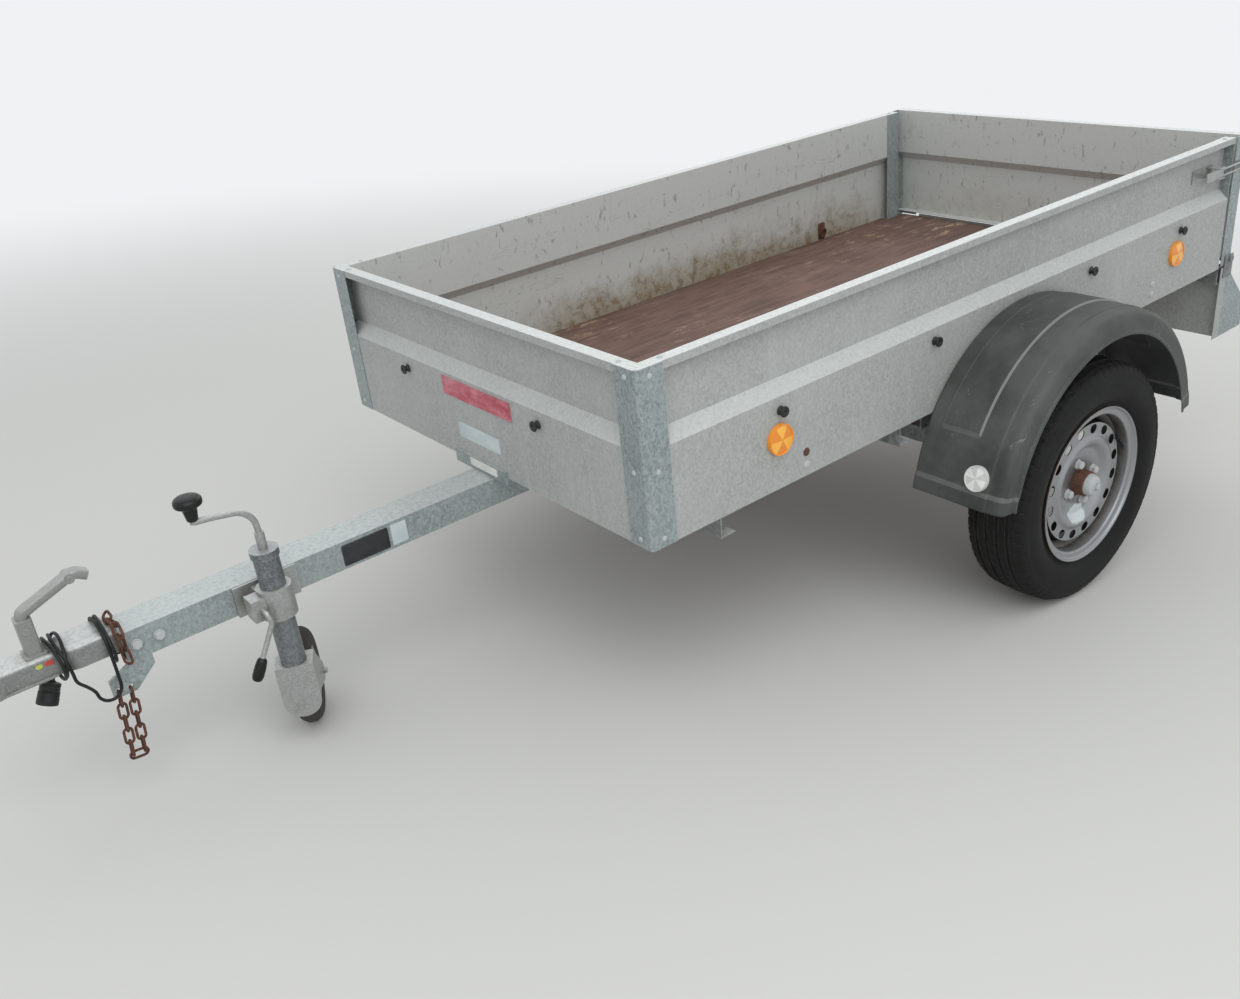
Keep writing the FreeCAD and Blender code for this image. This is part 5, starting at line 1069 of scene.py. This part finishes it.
# %% Mudguards
GUARD_CENTRE = np.array((-AXLE_BACK, 0, 0.020))
GUARD_R, GUARD_INSET = 0.390, 0.0035
GUARD_END = math.asin(0.060 / GUARD_R)
GUARD_WALL = 0.003
GUARD_SECTION = mm((558.5, 26), (558.5, 0), (740, 0), (742.5, 3), (761, 3.5), (772, 6.5), (778.5, 14),
                   (779.5, 22), (779.5, 46.5), (784.5, 48.5), (784.5, 55), (782.5, 56))
CROWN_Y = (0.566, 0.733)
PANEL_Y = (0.594, 0.690)
PANEL_ANGLE = (math.radians(31), math.radians(149))
STEP_OUT, BAND = 0.0034, math.radians(5.0)


def between(value, low, high, slope):
    """1 from low to high, with a smooth slope inside each end."""
    return ease(value, low, low + slope) * (1 - ease(value, high - slope, high))


def mudguard(way, steps=220):
    """Section (y, drop) carried round: radius = outer - drop + panel and band steps, way mirrors y."""
    line = rounded(GUARD_SECTION, 0.005, 3)
    crown = np.stack([np.linspace(*CROWN_Y, 84), np.zeros(84)], -1)
    line = np.concatenate([line[line[:, 0] < CROWN_Y[0] - 0.0005], crown,
                           line[line[:, 0] > CROWN_Y[1] + 0.0015]])
    across, drop = line.T[:, None]
    angle = np.linspace(GUARD_END, np.pi - GUARD_END, steps)[:, None]
    top_face = ease(0.004 - drop, 0.0, 0.003)
    panel = between(across, *PANEL_Y, 0.003) * between(angle, *PANEL_ANGLE, 0.008)
    from_end = np.minimum(angle - GUARD_END, np.pi - GUARD_END - angle)
    band = 1 - ease(from_end, BAND, BAND + 0.012)
    radius = GUARD_R - GUARD_INSET - drop + STEP_OUT * panel * top_face + STEP_OUT * band
    points = np.stack([radius * np.cos(angle), way * across + 0 * angle, radius * np.sin(angle)], -1)
    # crease marks where the steps turn; the finish paints a highlight line there.
    crease = np.maximum(4 * panel * (1 - panel) * top_face, 3 * band * (1 - band))
    points, quads = grid(points + GUARD_CENTRE)
    return (points, quads[:, ::-1] if way > 0 else quads), crease.ravel()[quads].max(1)


for side, way in SIDES:
    shell, creases = mudguard(way)
    guard = new_piece("mudguard_shell_" + side, [shell], mudguard_plastic,
                      ["mudguard_" + side], 45, shares=creases, close=False)
    thickened(guard, GUARD_WALL)

# %% [markdown]
# ## Reflectors
# Round reflectors: a rim, and a smooth dome divided into wedges. The wedges don't tilt: the share
# attribute, one number a face, paints them bright and deep in turn, as a painted reflection.

# %% Reflectors
RIM_SHARES = np.array([(0, 0), (0, 1), (0.6, 1), (0.9, 0.97), (0.9, 0.90), (0.72, 0.88)])
REFLECTOR_DEPTH = 0.0095


def reflector_disc(radius, wedges, centre, axis, rings=12, steps=96):
    """Rim profile, then a dome; returns the surface and each face's share, the painted reflection by wedge.
    """
    inner = np.linspace(0.88, 0.0, rings)[1:]
    dome = np.stack([0.72 + 0.28 * (1 - (inner / 0.88) ** 2), inner], -1)
    profile = np.concatenate([RIM_SHARES, dome]) * (REFLECTOR_DEPTH, radius)
    points, quads = turned(profile, steps, centre, axis)
    turn, ring = np.divmod(np.arange(len(quads)), len(profile) - 1)
    wedge = (turn * wedges // steps) % 2
    lens = (ring >= len(RIM_SHARES) - 1) & (ring < len(profile) - 2)
    return (points, quads), np.where(lens, 0.12 + 0.88 * wedge, 0.3)


def reflector_piece(name, spots, radius, wedges, finish, stands_for):
    """Several reflectors as one piece; each spot is its foot and its axis."""
    surfaces, shares = zip(*(reflector_disc(radius, wedges, foot, axis) for foot, axis in spots))
    new_piece(name, surfaces, finish, [stands_for], 30, shares=np.concatenate(shares))


WALL_FACE = 0.558
WHITE_Y, WHITE_SUNK = 0.711, 0.0045
white_out = spokes(np.radians(18.5))
white_foot = GUARD_CENTRE + (GUARD_R - WHITE_SUNK) * white_out
AMBERS = [((-back, way * WALL_FACE, 0.340), (0, way, 0)) for back in (0.331, 1.773) for way in (1, -1)]
WHITES = [(white_foot + (0, way * WHITE_Y, 0), white_out) for way in (1, -1)]
reflector_piece("amber_reflectors", AMBERS, 0.032, 6, amber_glass, "side_reflectors")
reflector_piece("white_reflectors", WHITES, 0.028, 8, white_glass, "mudguard_reflectors")

# %% [markdown]
# ## Rope hooks, screws and rivets
# The tarpaulin's rubber cord goes round button hooks. The posts are riveted, and the rim is screwed
# at its corners. Every head is a spun profile whose foot is sunk a hair into its sheet.

# %% Hooks and rivets
SUNK = -0.0006
HOOK_LEVEL = 0.397
HOOK_PROFILE = mm((-0.6, 0), (-0.6, 9.5), (1.2, 9.5), (2.5, 7), (6, 5.8), (8.5, 7.5), (10.5, 11),
                  (12.8, 11), (14, 9.8), (14, 5), (10.5, 4.2), (10.5, 0))
HOOKS = [((-back, way * WALL_FACE, HOOK_LEVEL), (0, way, 0))
         for back in (0.337, 0.798, 1.381, 1.787) for way in (1, -1)]
HOOKS += [((-0.002, across, HOOK_LEVEL), (1, 0, 0)) for across in (-0.267, 0.237)]
new_piece("button_hooks", [turned(rounded(HOOK_PROFILE, 0.0008, 2), 28, *spot) for spot in HOOKS],
          black_plastic, ["rope_hooks"], 35)


def head(radius, height, steps=7):
    """Profile of a rounded head: a quarter ellipse on a flat foot sunk a little into its sheet."""
    t = np.linspace(0, np.pi / 2, steps)
    dome = np.stack([height * np.sin(t), radius * np.cos(t)], -1)
    return np.concatenate([[(SUNK, 0), (SUNK, radius)], dome])


POST_LEVELS = (0.565, 0.385, 0.252)
RIM_TOP = 0.5825
rivets = [((-0.030, way * 0.560, level), (0, way, 0)) for level in POST_LEVELS for way in (1, -1)]
rivets += [((0.0, way * 0.529, level), (1, 0, 0)) for level in POST_LEVELS for way in (1, -1)]
rivets += [((ahead_by, way * across, RIM_TOP), (0, 0, 1))
           for ahead_by, across in ((-0.014, 0.500), (-0.069, 0.543), (-1.990, 0.543)) for way in (1, -1)]
new_piece("rivets", [turned(head(0.0055, 0.0026), 16, *spot) for spot in rivets], bolt_steel)

# %% [markdown]
# ## Lashing eyes, sill and drawbar bolts
# Four lashing eyes are bolted through the walls just above the floor, and some of their bolts have
# rusted with them. A thin sill closes the gap under the tailgate. The coupler's bolts are hexagons.

# %% Lashing eyes
EYE_INSIDE, EYE_LEVEL = 0.5558, 0.2725
EYE_BACKS, EYE_BOLT_LEVELS = (0.404, 1.674), (0.286, 0.259)
EYE_STACK = mm((0, -0.6), (1000, -0.6), (1000, 2.2), (920, 3), (0, 3))
bolts, eyes = [], []
for back in EYE_BACKS:
    for way in (1, -1):
        bolts += [turned(head(0.0085, 0.0042), 24, (-back, way * WALL_FACE, level), (0, way, 0))
                  for level in EYE_BOLT_LEVELS]
        spot = (-back, way * EYE_INSIDE, EYE_LEVEL)
        eyes.append(plaque(round_rectangle(0.030, 0.052, 0.006), EYE_STACK, spot, (way, 0, 0), (0, 0, 1)))
        t = np.linspace(-0.5, 1.5, 33)[:-1, None] * np.pi
        ring = 0.013 * (np.cos(t) * (1, 0, 0) + np.sin(t) * (0, -0.25 * way, 1))
        eyes.append(bar((-back, way * (EYE_INSIDE - 0.0075), 0.268) + ring, 0.0028, (0, 1, 0.25), 10, True))
new_piece("lashing_bolts", bolts[1:2] + bolts[3:], bolt_steel)
new_piece("rusty_lashing_bolts", bolts[:1] + bolts[2:3], hub_rust)
new_piece("lashing_eyes", eyes, hub_rust)

# %% Sill and drawbar bolts
DRAWBAR_FACE = 0.040
WASHER_PROFILE = mm((-0.6, 0), (-0.6, 10.5), (1.5, 10.5), (1.8, 10), (1.8, 0))
HEXAGON_PROFILE = mm((1, 0), (1, 9.8), (6.4, 9.8), (8, 8), (8, 0))
UP = (0, 0, 1)
sill = plaque(round_rectangle(0.940, 0.0185, 0.002), mm((0, 0), (1000, 0), (1000, 2), (0, 2)),
              (-2.058, 0, 0.24225), (0, -1, 0), UP)
new_piece("floor_sill", [sill], panel_zinc)
heads = []
for ahead_by in (0.733, 0.775):
    for way in (1, -1):
        spot, axis = (ahead_by, way * DRAWBAR_FACE, 0.189), (0, way, 0)
        heads += [turned(WASHER_PROFILE, 32, spot, axis), turned(HEXAGON_PROFILE, 6, spot, axis, 0.4)]
new_piece("drawbar_bolt_heads", heads, bolt_steel, ["coupler_bolts"], 25)

# %% [markdown]
# ## Labels and plates
# Blank labels: a pale one on the front wall, a white one on the bracket, the black type plate on the
# drawbar with a pale one behind it, and two coloured marks by the coupler's handle.

# %% Labels
LABEL_STACK = mm((0, -0.6), (1000, -0.6), (1000, 0.4), (990, 0.7), (0, 0.7))
PLATE_STACK = mm((0, -0.6), (1000, -0.6), (1000, 1), (985, 1.5), (0, 1.5))
LEFT_SIDE, FRONT, REAR = ((-1, 0, 0), UP), ((0, 1, 0), UP), ((0, -1, 0), UP)
for name, finish, wide, high, centre, facing, stack in (
        ("front_label", pale_label, 0.158, 0.036, (-0.002, 0.001, 0.302), FRONT, LABEL_STACK),
        ("bracket_label", white_plate, 0.104, 0.019, (0.002, 0.006, 0.236), FRONT, LABEL_STACK),
        ("drawbar_type_plate", type_plate, 0.103, 0.046, (0.3135, DRAWBAR_FACE, 0.188), LEFT_SIDE,
         PLATE_STACK),
        ("drawbar_label", pale_label, 0.036, 0.046, (0.238, DRAWBAR_FACE, 0.189), LEFT_SIDE, LABEL_STACK),
        ("coupler_green_mark", green_mark, 0.012, 0.008, (0.9315, 0.031, 0.2165), LEFT_SIDE, LABEL_STACK),
        ("coupler_red_mark", red_mark, 0.015, 0.009, (0.9150, 0.031, 0.2165), LEFT_SIDE, LABEL_STACK)):
    outline = round_rectangle(wide, high, 0.003)
    new_piece(name, [plaque(outline, stack, centre, *facing)], finish)

# %% [markdown]
# ## Tail lamps
# Each lamp has three lens fields on a black housing: amber at the outer end, red in the middle, and a
# red reflector triangle at the inner end. Each field is a plaque with a crowned face.

# %% Tail lamps
LENS_FACE = -2.086
LENS_STACK = mm((0, -1), (1000, -1), (1000, 20), (970, 23.5), (900, 25), (0, 25.8))
TRIANGLE_STACK = mm((0, 20), (1000, 20), (1000, 27.5), (900, 28.5), (0, 28.5))
triangle = spokes(np.radians((90, 210, 330, 90, 210)))[:, ::2] * 0.034
triangle = rounded(triangle, 0.006, 4)[1:-1][:15]
red_fields, amber_fields, clear_fields = [], [], []
for way in (1, -1):
    for fields, middle, wide, level, high in (
            (amber_fields, 0.4860, 0.072, 0.128, 0.124), (red_fields, 0.4080, 0.080, 0.143, 0.094),
            (clear_fields, 0.4080, 0.080, 0.0805, 0.029), (red_fields, 0.3300, 0.072, 0.128, 0.124)):
        outline = round_rectangle(wide, high, 0.009)
        fields.append(plaque(outline, LENS_STACK, (LENS_FACE, way * middle, level), *REAR))
    red_fields.append(plaque(triangle, TRIANGLE_STACK, (LENS_FACE, way * 0.3300, 0.120), *REAR))
new_piece("red_lenses", red_fields, red_lens, ["tail_lenses"], 25)
new_piece("amber_lenses", amber_fields, amber_lens, (), 25)
new_piece("clear_lenses", clear_fields, clear_lens, (), 25)

# %% [markdown]
# ## Coupler handle
# The handle is a smooth casting on a bracket. A rounded oblong is carried along its bent centreline,
# and a bolt crosses it near the tip.

# %% Coupler handle
HANDLE_LINE = mm((927.5, 0, 286), (927.5, 0, 307.5), (827.5, 0, 346.5), (808, 0, 334.5))
BRACKET_LINE = mm((927.5, 0, 229), (927.5, 0, 262), (927, 0, 300))
FOOT_STACK = mm((0, -0.6), (1000, -0.6), (1000, 4), (0, 4))
TIP_BOLT = mm((-16.5, 0), (-16.5, 5.8), (-13.5, 6.2), (-13.5, 9.5), (13.5, 9.5), (13.5, 6.2), (16.5, 5.8),
              (16.5, 0))
PIVOT = mm((-19.5, 0), (-19.5, 6.2), (19.5, 6.2), (19.5, 0))
SIDEWAYS = (0, 1, 0)
new_piece("coupler_lever", [
    swept(rounded(HANDLE_LINE, 0.020, 8), round_rectangle(0.026, 0.018, 0.0065), SIDEWAYS),
    swept(BRACKET_LINE, round_rectangle(0.033, 0.027, 0.005), SIDEWAYS),
    plaque(round_rectangle(0.0416, 0.038, 0.004), FOOT_STACK, (0.927, 0, 0.229), SIDEWAYS, (-1, 0, 0)),
    turned(TIP_BOLT, 24, (0.8375, 0, 0.3420)), turned(PIVOT, 20, (0.9285, 0, 0.2800)),
], cast_zinc, ["coupler_handle"], 35)

# %% [markdown]
# ## Jockey wheel, knob and clamp lever
# The parking wheel is solid rubber on a pressed disc. Its crank ends in a mushroom knob, and the
# clamp's lever in a black grip.

# %% Jockey wheel
JOCKEY_SWING = math.radians(243)
JOCKEY_AXIS = (-math.sin(JOCKEY_SWING), math.cos(JOCKEY_SWING), 0)
HALF_RUBBER = mm((-23.5, 55), (-24, 66), (-24, 80), (-19, 90), (-8, 97.2))
RUBBER = np.concatenate([HALF_RUBBER, mm((0, 97.5)), HALF_RUBBER[::-1] * (-1, 1)])
HALF_DISC = mm((30, 6.6), (30, 19), (13, 23), (12, 48), (21.5, 53), (21.5, 56))
DISC = np.concatenate([HALF_DISC[::-1] * (-1, 1), HALF_DISC])
jockey_low, jockey_high = (np.array(corner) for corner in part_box("jockey_wheel"))
jockey_middle = ((jockey_low + jockey_high) / 2 - SHIFT) @ TURN
for name, line, radius, steps, finish, slot, stands_for in (
        ("jockey_rubber_tyre", RUBBER, 0.005, 96, jockey_rubber, "grey_rubber", ["jockey_wheel"]),
        ("jockey_disc", DISC, 0.003, 72, plated_zinc, "zinc_plated_steel", ())):
    ring = turned(rounded(np.concatenate([line, line[:1]]), radius, 3), steps, jockey_middle, JOCKEY_AXIS)
    new_piece(name, [ring], finish, stands_for, body="jockey_wheel")

# %% Knob and clamp lever
KNOB_PROFILE = mm((0, 0), (0, 9.5), (12, 11.5), (26, 13.5), (29.5, 19), (31, 24.5), (37.5, 25.5),
                  (42.5, 24.5), (46.5, 20), (48, 10), (48, 0))
LEVER = mm((562.6, 106, 185.1), (562.6, 120, 185.1), (561, 125, 176), (558.6, 125, 165.1),
           (594.6, 125, 100.1))
GRIP = mm((-5, 0), (-5, 6.5), (0, 9.5), (12, 10.8), (30, 11), (38.5, 9.2), (41.2, 5), (41.2, 0))
knob = turned(rounded(KNOB_PROFILE, 0.004, 4), 56, (0.632, 0.088, 0.396), UP)
new_piece("crank_knob", [knob], grip_plastic, ["jockey_knob"], 60, "jockey_leg")
lever = bar(rounded(LEVER, 0.010, 5), 0.005, (0.3, 1, 0.1), 14)
new_piece("clamp_lever_bar", [lever], plated_zinc, ["jockey_clamp_lever"])
grip = turned(rounded(GRIP, 0.002, 3), 32, LEVER[-1], LEVER[-1] - LEVER[-2])
new_piece("clamp_lever_grip", [grip], grip_plastic)

# %% [markdown]
# ## Sizes
# The visual model should fill the same box as the imported one; here only its box is measured,
# the floor left out.

# %% Finish
low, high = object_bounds()
